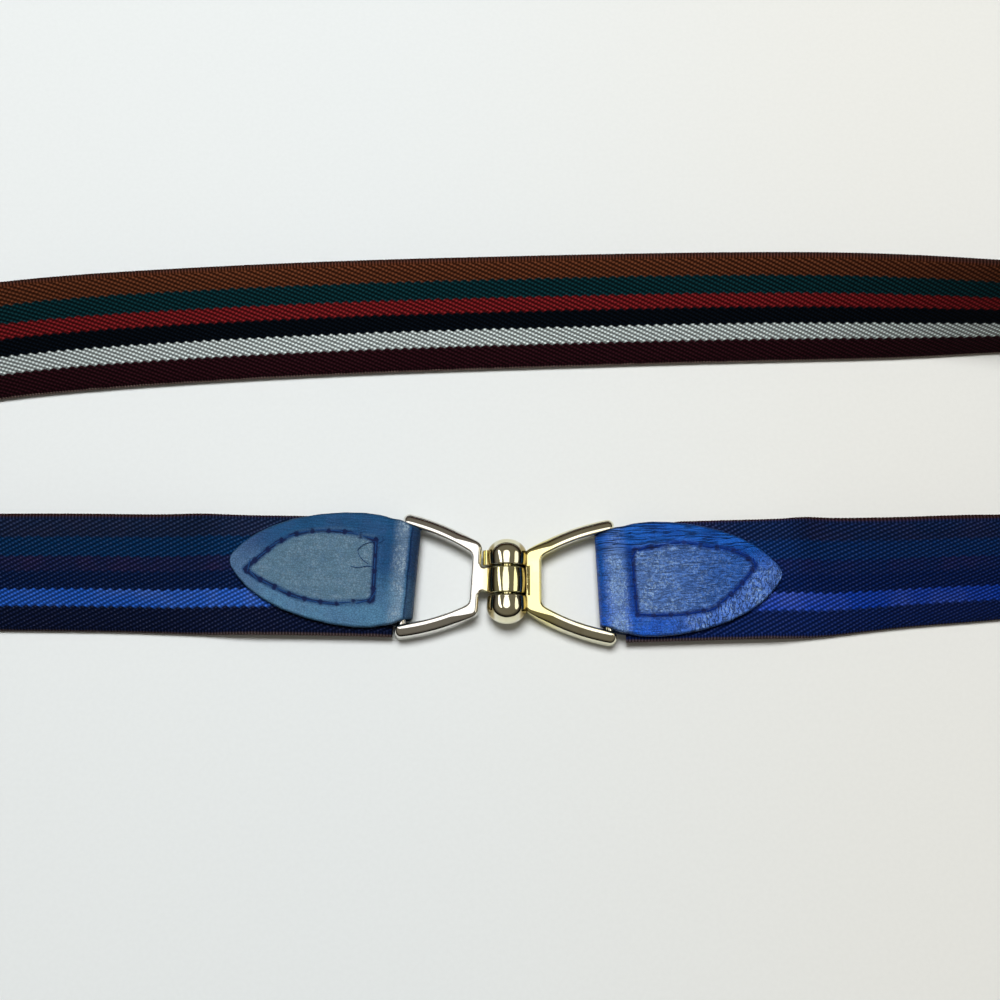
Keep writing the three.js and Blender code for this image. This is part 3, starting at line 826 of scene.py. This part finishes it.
# The left leather and the right one. A mark with four places rises, stays and falls.
leatherPairs = {
    "farSide": (-1.0, 1.0),
    "field": (tone(72, 108, 132), tone(16, 88, 182)),  # inside the seam; on the left paler, partly faded and partly a painted sheen of the light on the flat field
    "border": (tone(26, 76, 120), tone(20, 90, 184)),  # outside it; on the left darker, partly with painted shade where the border slopes
    "near": (tone(80, 126, 160), tone(0, 92, 216)),  # along the near edge
    "nearShare": (0.9, 0.9),
    "nearRub": (0.1, 0.74),
    "foldShadeColour": (tone(26, 38, 66), tone(0, 40, 110)),  # painted shade round the crossbar
    "foldShadeShare": (0.6, 0.0),
    "tint": (tone(60, 74, 120), tone(0, 56, 146)),  # at the tip and in patches
    "tintShare": (0.5, 0.4),
    "patchShare": (0.35, 1.0),
    "dark": (0.25, 0.6),
    # Pale colour of the rubbed field and near edge, and of the painted highlight at the fold
    "paleWearAndHighlight": (tone(140, 162, 180), tone(146, 180, 226)),
    # Where the painted highlight lies on the bend before the fold
    "foldHighlight": ((2.3, 3.2, 3.4, 7.0), (1.2, 4.0, 4.4, 8.6)),
    "foldHighlightFar": (0.95, 0.25),
    "foldHighlightShare": (1.1, 1.4),
    "fieldShare": (0.36, 0.52),
    "fieldFall": ((1.1, 0.9), (1.8, 0.45)),
    "crease": ((2.25, 2.4, 2.5, 2.7), (3.4, 3.6, 3.6, 3.8)),
    "creaseShare": (0.75, 0.0),
    # Painted shade along the seam
    "seam": (tone(22, 62, 108), tone(0, 44, 130)),
    "seamShade": (0.75, 0.6),
    "valleyShade": (0.25, 0.6),
    "groove": (0.95, 0.6),
    "hole": (1.0, 0.72),
    "thread": (tone(6, 24, 66), tone(2, 24, 86)),  # painted shade in the groove, the holes and the crease
    "stitch": (tone(26, 62, 112), tone(4, 42, 120)),
    "rim": (tone(30, 62, 88), tone(4, 40, 80)),
    # Painted shade in the low parts of the relief, as the share of colour left
    "deepest": (0.66, 0.36),
    "roughness": (0.55, 0.46),
    "grain": (0.7, 0.7),
    "wrinkle": (0.25, 0.5),
    "farWrinkle": (0.3, 2.2),
    "crumple": (0.3, 2.2),
    "ribs": (0.2, 1.0),
    "relief": (0.09, 0.16),
    "specular": (0.18, 0.22),
    "coat": (0.04, 0.08),
    "coatRoughness": (0.35, 0.3),
}


def leatherMaterial(name, group, look):
    shine = {"Coat_Weight": look["coat"], "Coat_Roughness": look["coatRoughness"]}
    material, tree, surface = newMaterial(name, Specular_IOR_Level=look["specular"], **shine)
    place = enlarged(tree, facePlace(tree, "leaf"), tabs["mapSize"])
    fromFold, across = partsOf(tree, place)[:2]
    gap, hole, rim, field = (
        pointValue(tree, key) for key in ("stitchGap", "holeGap", "rimGap", "sewnField")
    )
    outside = without(tree, field)
    side = times(tree, across, look["farSide"])
    # How strong the wrinkles, the ribs of the field and the crumpled near edge are
    farBorder = times(tree, remap(tree, side, *marks["farBorder"]), outside)
    wrinkle = plus(tree, look["wrinkle"], times(tree, farBorder, look["farWrinkle"]))
    ribs = times(tree, field, look["ribs"])
    slant = maths(tree, "MAXIMUM", minus(tree, fromFold, marks["slantFrom"]), 0.0)
    nearSide = minus(tree, side, times(tree, slant, marks["slant"]))
    nearEdge = times(tree, remap(tree, nearSide, *marks["nearEdge"]), outside)
    towardTip = times(tree, nearEdge, remap(tree, fromFold, *marks["nearReach"], marks["nearLeast"], 1.0))
    crumple = times(tree, towardTip, look["crumple"])
    relief = {"Grain": look["grain"], "Wrinkle": wrinkle, "Ribs": ribs, "Crumple": crumple}
    leather = useGroup(tree, group, {"Place": place, **relief})
    # The darker tint lies at the tip and in patches, and less on the field
    patch = remap(tree, noiseAt(tree, place, 0.12, 3.0, 0.6), 0.42, 0.6)
    tip = remap(tree, fromFold, *marks["tip"])
    tint = maths(tree, "MAXIMUM", tip, times(tree, patch, look["patchShare"]))
    tint = times(tree, tint, look["tintShare"], without(tree, times(tree, field, marks["fieldSpared"])))
    # The field and the near edge are rubbed pale, and the bend at the fold has a painted highlight in the
    # same pale colour
    foldHighlightFar = remap(tree, side, *marks["foldHighlightSide"], 1.0, look["foldHighlightFar"])
    foldHighlight = times(tree, bandMask(tree, fromFold, look["foldHighlight"]), foldHighlightFar, look["foldHighlightShare"])
    fieldFall = remap(tree, fromFold, *marks["fieldReach"], *look["fieldFall"])
    worn = times(tree, field, look["fieldShare"], fieldFall)
    paleWearAndHighlight = plus(tree, foldHighlight, worn, times(tree, towardTip, look["nearRub"]))
    paleWearAndHighlight = times(tree, paleWearAndHighlight, remap(tree, leather["Rubbed"], 0.0, 1.0, marks["leastRubbed"], 1.0))
    # Painted shade: a fine dark line in the fold's crease, and a dark band between the fold and the seam
    wobble = plus(tree, fromFold, times(tree, noiseAt(tree, place, 0.2), marks["wobble"]))
    # Painted shade: past the crease the fold darkens where the leather turns down round the crossbar
    foldShade = remap(tree, wobble, look["crease"][2], look["crease"][0], 0.0, look["foldShadeShare"])
    crease = bandMask(tree, wobble, look["crease"])
    valleySide = remap(tree, maths(tree, "ABSOLUTE", across), *marks["valleySide"])
    valleyShade = times(tree, bandMask(tree, fromFold, marks["valleyShade"]), look["valleyShade"], outside, valleySide)
    seamShade = maths(tree, "MAXIMUM", remap(tree, gap, *marks["seamShade"], 0.0, look["seamShade"]), valleyShade)
    layers = [
        (field, look["field"]),
        (times(tree, nearEdge, look["nearShare"]), look["near"]),
        (tint, look["tint"]),
        (times(tree, leather["Dark"], look["dark"]), look["border"]),
        (maths(tree, "MINIMUM", paleWearAndHighlight, marks["mostRubbed"]), look["paleWearAndHighlight"]),
        (foldShade, look["foldShadeColour"]),
        # Painted shade in the crease, which the bump also cuts
        (times(tree, crease, look["creaseShare"]), look["thread"]),
        # Painted shade along the seam, in its groove and at its holes
        (seamShade, look["seam"]),
        (remap(tree, gap, *marks["groove"], 0.0, look["groove"]), look["thread"]),
        (remap(tree, hole, *marks["hole"], 0.0, look["hole"]), look["thread"]),
        (remap(tree, rim, *marks["rim"], 0.0, marks["rimShare"]), look["rim"]),
    ]
    colour = look["border"]
    for share, layer in layers:
        colour = mixColour(tree, share, colour, layer)
    # Painted shade and highlight: the low parts of the relief are darkened and its crests lightened
    full = plus(tree, plus(tree, wrinkle, ribs), plus(tree, crumple, look["grain"]))
    level = maths(tree, "DIVIDE", leather["Height"], full)
    shade = remap(tree, level, 0.15, 0.85, look["deepest"], marks["crestShade"], smooth=False)
    tree.links.new(mixColour(tree, 1.0, colour, shade, "MULTIPLY"), surface["Base Color"])
    shiny = look["roughness"] - marks["rubbedShine"]
    rough = remap(tree, leather["Rubbed"], 0.0, 1.0, look["roughness"], shiny)
    tree.links.new(rough, surface["Roughness"])
    cut = times(tree, crease, marks["creaseDepth"] * look["creaseShare"])
    height = minus(tree, leather["Height"], cut)
    tree.links.new(bumpAt(tree, height, look["relief"]), surface["Normal"])
    return material


def threadMaterial(name, colour):
    material, tree, surface = newMaterial(name, Roughness=0.75, Specular_IOR_Level=0.2)
    strand = noiseAt(tree, objectPlace(tree), 5200.0)
    shade = remap(tree, strand, 0.3, 0.7, 0.6, 1.3)
    tree.links.new(mixColour(tree, 1.0, colour, shade, "MULTIPLY"), surface["Base Color"])
    tree.links.new(bumpAt(tree, strand, 0.05), surface["Normal"])
    return material


# Geometry Nodes that lay a stitch at even places along a curve
def seamTree():
    sockets = {"Geometry": "Geometry", "Count": "Int", **floats("Length", "Radius", "Sag", "Rise")}
    sockets["Material"] = "Material"
    tree, given, result = newGroup("seam_stitches", "GeometryNodeTree", sockets, {"Geometry": "Geometry"})

    def made(kind, inputs=(), **settings):
        return addNode(tree, kind, inputs, **settings).outputs[0]

    half = times(tree, given["Length"], 0.5)
    down = times(tree, given["Sag"], -1.0)

    def spot(share, height):
        return made("ShaderNodeCombineXYZ", {0: times(tree, half, share), 2: height})

    ends = {"Start": spot(-1.0, down), "End": spot(1.0, down)}
    handles = {"Start Handle": spot(-0.8, given["Rise"]), "End Handle": spot(0.8, given["Rise"])}
    bow = made("GeometryNodeCurvePrimitiveBezierSegment", {"Resolution": 9, **ends, **handles})
    section = made("GeometryNodeCurvePrimitiveCircle", {"Resolution": 10, "Radius": given["Radius"]})
    thread = made("GeometryNodeCurveToMesh", {"Curve": bow, "Profile Curve": section, "Fill Caps": True})
    places = made("GeometryNodeResampleCurve", {"Curve": given["Geometry"], "Count": given["Count"]})
    tangent = made("GeometryNodeInputTangent")
    way = made("FunctionNodeAlignRotationToVector", {"Vector": tangent}, axis="X")
    laid = made("GeometryNodeInstanceOnPoints", {"Points": places, "Instance": thread, "Rotation": way})
    real = made("GeometryNodeRealizeInstances", {"Geometry": laid})
    dyed = made("GeometryNodeSetMaterial", {"Geometry": real, "Material": given["Material"]})
    tree.links.new(dyed, result["Geometry"])
    return tree


# A curve of straight pieces through points in millimetres
def curveObject(name, line):
    data = bpy.data.curves.new(name, "CURVE")
    data.dimensions = "3D"
    spline = data.splines.new("POLY")
    spline.points.add(len(line) - 1)
    spline.points.foreach_set("co", np.column_stack([line * mm, np.ones(len(line))]).ravel())
    return linked(name, data)


# The finished curve as a plain mesh object, in the place of the first one
def plainMesh(item, name):
    mesh = finishedMesh(item)
    discard(item, bpy.data.curves)
    return linked(name, mesh)


def sewSeam(name, side, tree, material, strands=()):
    path, lengths, pitch = seamPath(side)
    count = round(lengths[-1] / pitch)
    flat = pointsAt(path, lengths, np.linspace(pitch / 2, lengths[-1] - pitch / 2, 12 * count))
    line = np.column_stack([flat - (tabs["loopRadius"], 0), np.full(len(flat), stitch["level"])])
    spin, shift = tabFrame(side)
    seam = curveObject(f"{name}_path", line @ spin.T + shift)
    change = seam.modifiers.new("stitches", "NODES")
    change.node_group = tree
    values = {
        "Count": count,
        "Length": pitch * stitch["share"] * mm,
        "Radius": stitch["radius"] * mm,
        "Sag": stitch["sag"] * mm,
        "Rise": stitch["rise"] * mm,
        "Material": material,
    }
    for socket in tree.interface.items_tree:
        if socket.in_out == "INPUT" and socket.name in values:
            change[socket.identifier] = values[socket.name]
    pieces = [plainMesh(seam, name)]
    for strand in strands:
        loose = curveObject(f"{name}_loose", smoothBend(strand, 0.15))
        loose.data.bevel_depth = stitch["looseRadius"] * mm
        loose.data.bevel_resolution = 2
        loose.data.use_fill_caps = True
        pieces.append(plainMesh(loose, f"{name}_strand"))
    body = bmesh.new()
    for piece in pieces:
        body.from_mesh(piece.data)
    for piece in pieces[1:]:
        discard(piece, bpy.data.meshes)
    bmesh.ops.remove_doubles(body, verts=body.verts, dist=0.001 * mm)
    bmesh.ops.recalc_face_normals(body, faces=body.faces)
    mesh = pieces[0].data
    body.to_mesh(mesh)
    body.free()
    mesh.materials.clear()
    mesh.materials.append(material)
    mesh.shade_smooth()
    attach(pieces[0], "root")


grainGroup = leatherGroup()
stitchTree = seamTree()
for k, (side, slot) in enumerate((("left", "faded_blue_leather"), ("right", "royal_blue_leather"))):
    look = {key: pair[k] for key, pair in leatherPairs.items()}
    material = leatherMaterial(slot, grainGroup, look)
    makeTab(f"{slot}_tab", side, f"leather_tab_{side}", material)
    thread = threadMaterial(f"{side}_thread", look["stitch"])
    sewSeam(f"{side}_seam", side, stitchTree, thread, looseThreads if side == "left" else ())
print("leather tabs are folded and sewn")

clasp = {
    "frameTop": 5.1,
    "frameBottom": 1.2,
    "footRound": 0.4,
    "armWidth": 3.55,
    "bowRadius": 54.0,
    "armRoot": (7.3, 7.3),  # ends of an arm's middle line
    "armEnd": (25.1, 14.0),
    "tongueEdge": 0.5,  # size of the rounded edge on the tongue
    "shoulderEdge": 0.9,  # and at the shoulder, from where it grows along the arm
    "edgeGain": 0.3,
    "armRound": 2.62,
    "ridgeEnd": 0.45,
    "endTaper": 0.15,
    "draft": 0.3,
    "windowEdge": 0.62,
    "endEdge": 0.25,  # more on the window's edge near the arm's end
    "endFrom": 25.5,
    "endReach": 3.2,
    "windowCorner": 1.2,
    "shoulder": 1.4,
    "bowPanels": 40,
    "endPanels": 12,
    "levels": 18,
    "barRadius": 1.0,
    "barReach": 25.2,
    "axisHeight": 3.6,
    "barrelRadius": 5.0,
    "barrelHalf": 10.6,
    "domeDepth": 4.2,
    "domeEnd": 89.2,
    "knuckleEdge": 0.4,
    "crown": 0.2,  # the knuckles are a little thicker in the middle
    "middleRadius": 4.9,
    "middleShift": 0.2,
    "hookHalf": 3.25,
    "knuckleGap": 0.45,
    "cradleRadius": 4.85,
    "pinRadius": 1.5,
    "pinClearance": 0.45,
    "slotWidth": 3.4,
    "slotAngle": 45.0,
    "hookYaw": -3.5,
    "facets": 128,
    "sharpAngle": 32,
}
# Section of an arm's outer side: how far it curves for each slope, a narrow ridge, a long
# flank and a round foot. Slopes in degrees and the radius of the curve in shares.
flankRows = [(0, 0.5), (12, 0.5), (14, 2.2), (36, 2.2), (38, 1.6), (48, 1.6), (50, 0.25), (90, 0.25)]
hookSide = {"plate": 6.6, "window": 8.9, "tongue": 4.3, "tongueHalf": 3.0, "tongueRound": 0.8}
catchSide = {
    "plate": 4.2,
    "window": 8.5,
    "cradle": (4.0, 6.6, 2.8),
    "lugRadius": 1.3,
    "lugReach": 4.65,
    "lugEnds": (3.95, 7.6),
    "notch": [(3.5, 4.3), (3.5, 6.5), (5.66, 6.5), (5.66, 5.02), (5.5, 4.82), (5.36, 4.98), (4.9, 4.84)],
}


def planArc(centre, radius, start, end, panels):
    angles = np.linspace(start, end, panels + 1)
    return np.column_stack([centre[0] + radius * np.cos(angles), centre[1] + radius * np.sin(angles)])


def roundedCorner(start, corner, end, panels=10):
    t = np.linspace(0, 1, panels + 1)[:, None]
    return (1 - t) ** 2 * np.array(start) + 2 * t * (1 - t) * np.array(corner) + t * t * np.array(end)


# Centre of the circle that an arm's middle line follows, and its angle at the arm's end
def armCircle():
    root, end = np.array(clasp["armRoot"]), np.array(clasp["armEnd"])
    chord = end - root
    rise = math.sqrt(clasp["bowRadius"] ** 2 - chord @ chord / 4)
    centre = (root + end) / 2 + np.array([chord[1], -chord[0]]) / np.linalg.norm(chord) * rise
    return centre, math.atan2(end[1] - centre[1], end[0] - centre[0])


# The outer (1) or inner (-1) side of an arm, from its end to a rounded corner at a cross line
def armSide(sign, cross, corner):
    centre, endAngle = armCircle()
    half = clasp["armWidth"] / 2
    radius = clasp["bowRadius"] + sign * half
    high = centre[1] + radius * math.sin(math.acos((cross - centre[0]) / radius))
    quarter = math.pi / 2
    stop = endAngle - (1 - sign) * quarter
    end = planArc(clasp["armEnd"], half, endAngle - quarter, stop, clasp["endPanels"])
    cornerAngle = math.acos((cross + corner - centre[0]) / radius)
    bow = planArc(centre, radius, endAngle, cornerAngle, clasp["bowPanels"])
    turn = roundedCorner(bow[-1], (cross, high), (cross, high - corner))
    return np.vstack([end, bow[1:], turn[1:]])


def mirrored(upper):
    return np.vstack([upper, (upper * (1, -1))[::-1]])


def inwardOf(outline):
    before, after = np.roll(outline, 1, axis=0), np.roll(outline, -1, axis=0)
    inward = np.column_stack([before[:, 1] - after[:, 1], after[:, 0] - before[:, 0]])
    return inward / np.linalg.norm(inward, axis=1)[:, None]


# Closed body on an outline from levels that give a height and an inset for each point
def uprightBody(outline, levels):
    inward = inwardOf(outline)
    rings = []
    for level in levels:
        height, inset = level(outline)
        inset = np.asarray(inset)
        place = outline + (inset if inset.ndim == 2 else inward * inset.reshape(-1, 1))
        rings.append(np.column_stack([place, np.broadcast_to(height, len(outline))]))
    return np.vstack(rings), flipped(ringFaces(len(rings), len(outline)))


# The way from each point of the outline to the ridge, and the flank's size there
def ridgeReach(outline, plate):
    x = outline[:, 0]
    grown = clasp["shoulderEdge"] + clasp["edgeGain"] * (x - plate)
    size = np.where(x < plate, clasp["tongueEdge"], np.minimum(grown, clasp["armRound"]))
    reach = inwardOf(outline) * size[:, None]
    # Round the arm's end all ways lead to the end of the ridge
    endAngle = armCircle()[1]
    out = np.array([math.cos(endAngle), math.sin(endAngle)])
    tip = np.array([out[1], -out[0]]) * clasp["ridgeEnd"]
    ridge = np.array(clasp["armEnd"]) + out * (clasp["armWidth"] / 2 - clasp["armRound"])
    for k in range(clasp["endPanels"] + 1):
        share = 1 - k / clasp["endPanels"]
        reach[k] = ridge + tip * share - outline[k]
        reach[-1 - k] = reach[k] * (1, -1)
        size[k] = size[-1 - k] = clasp["armRound"] * (1 - clasp["endTaper"] * share)
    return reach, size


# Shares of inset and drop from the ridge to the upright side
def flankProfile():
    slopes = np.radians(np.linspace(0, 90, 721))
    radius = np.interp(np.degrees(slopes), *np.array(flankRows, float).T)

    def grown(rates):
        return np.concatenate([[0], np.cumsum(rates[:-1] * slopes[1])])

    along, drop, length = grown(radius * np.cos(slopes)), grown(radius * np.sin(slopes)), grown(radius)
    even = np.linspace(0, length[-1], clasp["levels"] + 1)
    inset = 1 - np.interp(even, length, along) / along[-1]
    return list(zip(inset, np.interp(even, length, drop) / along[-1]))


# The frame's plate with its arms, and the cutter of its window
def plateBodies(plate, window, barrelSide=()):
    top, bottom, foot = clasp["frameTop"], clasp["frameBottom"], clasp["footRound"]

    def outerLevel(inset, drop):
        def level(outline):
            reach, size = ridgeReach(outline, plate)
            return top - size * drop, reach * (inset + (1 - inset) * clasp["draft"] / clasp["armRound"])

        return level

    def windowLevel(angle, height=None):
        def level(outline):
            fromEnd = np.abs(clasp["endFrom"] - outline[:, 0]) / clasp["endReach"]
            edge = clasp["windowEdge"] + clasp["endEdge"] * np.clip(1 - fromEnd, 0, 1) ** 2
            at = top - edge * (1 - math.sin(angle)) if height is None else height
            return at, -edge * (1 - math.cos(angle))

        return level

    def plain(height, inset):
        return lambda outline: (height, inset)

    outer = [outerLevel(inset, drop) for inset, drop in flankProfile()]
    outer += [plain(bottom + foot, 0), plain(bottom, foot)]
    cut = [windowLevel(math.pi / 2, top + 1)]
    cut += [windowLevel(angle) for angle in np.linspace(math.pi / 2, 0, 13)]
    cut += [plain(bottom - 1, clasp["draft"])]
    outside = np.vstack([armSide(1, plate, clasp["shoulder"]), *barrelSide])
    inside = armSide(-1, window, clasp["windowCorner"])
    inside = np.vstack([inside[0] + (clasp["armWidth"], 0), inside])
    return uprightBody(mirrored(outside), outer), uprightBody(mirrored(inside), cut)


# Closed body turned about the barrel's axis, from pairs of radius and place along it
def turned(profile, facets=clasp["facets"]):
    points = [
        (radius * math.sin(angle), along, clasp["axisHeight"] + radius * math.cos(angle))
        for radius, along in profile
        for angle in np.arange(facets) * math.tau / facets
    ]
    return np.array(points), ringFaces(len(profile), facets)


def arcProfile(radius, along, width, height, start, end, panels=8):
    angles = np.radians(np.linspace(start, end, panels + 1))
    return [(radius + width * math.cos(a), along + height * math.sin(a)) for a in angles]


# A box, turned about the barrel's axis by a slope in degrees
def block(low, high, slope=0.0):
    points = np.array(list(itertools.product(*zip(low, high))), float)
    faces = [[0, 1, 3, 2], [4, 6, 7, 5], [0, 4, 5, 1], [2, 3, 7, 6], [0, 2, 6, 4], [1, 5, 7, 3]]
    if slope:
        a, axis = math.radians(slope), clasp["axisHeight"]
        x, z = points[:, 0].copy(), points[:, 2] - axis
        points[:, 0] = x * math.cos(a) + z * math.sin(a)
        points[:, 2] = z * math.cos(a) - x * math.sin(a) + axis
    return points, faces


# A body between two places along the barrel's axis, from a section's x and z
def prism(profile, low, high):
    points = [(x, along, z) for along in (low, high) for x, z in profile]
    return np.array(points), ringFaces(2, len(profile))


def moved(body, yaw=0.0, shift=(0, 0, 0), mirror=False):
    points, faces = body
    points = points + np.array(shift)
    if mirror:
        points, faces = points * (1, -1, 1), flipped(faces)
    return points @ spinBy(yaw).T, faces


def middleKnuckle():
    edge = clasp["knuckleEdge"]
    inner = clasp["hookHalf"] - edge
    radius = clasp["middleRadius"] - clasp["crown"]
    low = arcProfile(radius - edge, -inner, edge, edge, -90, 0)
    high = arcProfile(radius - edge, inner, edge, edge, 0, 90)
    places = np.linspace(-1, 1, 17)[1:-1]
    return turned(low + [(radius + clasp["crown"] * (1 - t * t), inner * t) for t in places] + high)


def domedKnuckle():
    edge = clasp["knuckleEdge"]
    start = clasp["hookHalf"] + clasp["knuckleGap"] + edge
    shoulder = clasp["barrelHalf"] - clasp["domeDepth"]
    radius = clasp["barrelRadius"] - clasp["crown"]
    low = arcProfile(radius - edge, start, edge, edge, -90, 0)
    places = np.linspace(0, 1, 9)[1:-1]
    crown = [(radius + clasp["crown"] * t * (2 - t), start + (shoulder - start) * t) for t in places]
    dome = arcProfile(0, shoulder, clasp["barrelRadius"], clasp["domeDepth"], 0, clasp["domeEnd"], 26)
    return turned(low + crown + dome)


def rod(radius, low, high, facets=64):
    return turned([(radius, low), (radius, high)], facets)


def crossbar():
    bar = rod(clasp["barRadius"], -clasp["armEnd"][1], clasp["armEnd"][1])
    return moved(bar, shift=(clasp["barReach"], 0, 0))


# One piece from a first body and steps of joining and cutting
def carve(name, base, steps, material, node):
    base = splitCaps(newPiece(name, *base, material))
    helpers = []
    for kind, body in steps:
        helpers.append(splitCaps(newPiece(f"{name}_helper", *body, material)))
        change = base.modifiers.new("change", "BOOLEAN")
        change.operation = kind
        change.solver = "MANIFOLD"
        change.object = helpers[-1]
    applyChanges(base)
    for helper in helpers:
        discard(helper, bpy.data.meshes)
    base.data.shade_smooth()
    base.data.set_sharp_from_angle(angle=math.radians(clasp["sharpAngle"]))
    even = base.modifiers.new("even", "WEIGHTED_NORMAL")
    even.keep_sharp = True
    even.weight = 100
    applyChanges(base)
    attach(base, "root")
    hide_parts(node)


# What lies below the table
def underside():
    return block((-50, -30, -30), (50, 30, 0))


def turnedAround(body):
    points, faces = body
    return points * (-1, -1, 1), faces


# Drawn with its arms to the right, as the catch half, and turned round at the end
def makeHookHalf(material):
    plate, half, soft = hookSide["plate"], hookSide["tongueHalf"], hookSide["tongueRound"]
    tongue = roundedCorner((plate, half + soft), (plate, half), (plate - soft, half), 8)
    body, cutter = plateBodies(plate, hookSide["window"], [tongue, [(hookSide["tongue"], half)]])
    yaw, axis, wide = clasp["hookYaw"], clasp["axisHeight"], clasp["slotWidth"] / 2
    # The cutters of the hole and of the slot reach past the knuckle
    steps = [
        ("DIFFERENCE", moved(cutter, yaw)),
        ("UNION", moved(crossbar(), yaw)),
        ("UNION", moved(middleKnuckle(), shift=(clasp["middleShift"], 0, 0))),
        ("DIFFERENCE", rod(clasp["pinRadius"] + clasp["pinClearance"], -7, 7)),
        ("DIFFERENCE", block((0, -9, axis - wide), (10, 9, axis + wide), clasp["slotAngle"])),
        ("DIFFERENCE", underside()),
    ]
    steps = [(kind, turnedAround(part)) for kind, part in steps]
    carve("nickel_hook_half", turnedAround(moved(body, yaw)), steps, material, "clasp_hook_half")


def makeCatchHalf(material):
    body, cutter = plateBodies(catchSide["plate"], catchSide["window"])
    half = clasp["hookHalf"] + clasp["knuckleGap"]
    start, end, high = catchSide["cradle"]
    lug = rod(catchSide["lugRadius"], *catchSide["lugEnds"])
    steps = [
        ("DIFFERENCE", cutter),
        ("UNION", crossbar()),
        ("UNION", domedKnuckle()),
        ("UNION", moved(domedKnuckle(), mirror=True)),
        ("UNION", block((start, -half - 1, 0), (end, half + 1, high))),
        ("UNION", moved(lug, shift=(-catchSide["lugReach"], 0, 0))),
        ("DIFFERENCE", rod(clasp["cradleRadius"], -half, half, clasp["facets"])),
        ("DIFFERENCE", prism(catchSide["notch"], -half, half)),
        ("UNION", rod(clasp["pinRadius"], -half - 1, half + 1)),
        ("DIFFERENCE", underside()),
    ]
    carve("nickel_catch_half", body, steps, material, "clasp_catch_half")


nickelLooks = {
    "hook": {
        "bright": (0.80, 0.78, 0.73, 1),
        "dull": (0.62, 0.58, 0.50, 1),
        "gilt": (0.84, 0.80, 0.45, 1),
        "giltReach": (7.4, 4.9),
        "barrelShare": 0.0,
    },
    "catch": {
        "bright": (0.82, 0.79, 0.63, 1),
        "dull": (0.64, 0.58, 0.42, 1),
        "gilt": (0.88, 0.80, 0.37, 1),
        "giltReach": (2.6, 5.0),
        "barrelShare": 0.22,
    },
}
nickelFinish = {
    "roughness": 0.04,
    "scratch": 0.07,
    "wave": 0.012,
    "fade": (9.0, 15.0),  # where the yellow ends along the arms
    "fadeLeft": 0.12,
    "barrelInner": 0.7,
    "flank": (2.8, 3.5),  # where the barrel's sides turn brown
    "flankRound": (1.008, 1.03),  # of the barrel's radius
    # Painted brown reflection on the barrel's flanks
    "flankReflection": (0.36, 0.27, 0.11, 1),
    "flankShare": 0.9,
}


# Polished nickel, worn to its yellow base metal round the barrel
def nickelMaterial(name, look):
    finish = nickelFinish
    material, tree, surface = newMaterial(name, Metallic=1.0)
    place = objectPlace(tree)
    parts = partsOf(tree, enlarged(tree, place, 1 / mm))
    cloud = noiseAt(tree, place, 160.0, 4.0, 0.6)
    colour = mixColour(tree, remap(tree, cloud, 0.45, 0.8), look["bright"], look["dull"])
    side = maths(tree, "ABSOLUTE", parts["X"])
    inner = min(look["giltReach"])
    onBarrel = remap(tree, side, inner, inner * finish["barrelInner"], 0.0, look["barrelShare"])
    near = maths(tree, "MAXIMUM", remap(tree, side, *look["giltReach"]), onBarrel)
    fade = remap(tree, side, *finish["fade"], 1.0, finish["fadeLeft"])
    worn = times(tree, near, fade, remap(tree, cloud, 0.25, 0.5, 0.75, 1.0))
    colour = mixColour(tree, worn, colour, look["gilt"])
    # Painted reflection: the barrel's flanks are darkened brown, as the brown room mirrored in them
    rise = minus(tree, parts["Z"], clasp["axisHeight"])
    reach = maths(tree, "SQRT", plus(tree, times(tree, side, side), times(tree, rise, rise)))
    low, high = (share * clasp["barrelRadius"] for share in finish["flankRound"])
    onRound = remap(tree, reach, low, high, finish["flankShare"], 0.0)
    flank = times(tree, remap(tree, side, *finish["flank"]), onRound)
    tree.links.new(mixColour(tree, flank, colour, finish["flankReflection"]), surface["Base Color"])
    drawn = noiseAt(tree, stretched(tree, place, (1.0, 0.12, 1.0)), 2600.0, 3.0, 0.7)
    roughest = finish["roughness"] + finish["scratch"]
    tree.links.new(remap(tree, drawn, 0.5, 0.8, finish["roughness"], roughest), surface["Roughness"])
    tree.links.new(bumpAt(tree, noiseAt(tree, place, 700.0), finish["wave"]), surface["Normal"])
    return material


makeHookHalf(nickelMaterial("nickel_hook", nickelLooks["hook"]))
makeCatchHalf(nickelMaterial("nickel_catch", nickelLooks["catch"]))
print("clasp is cast")
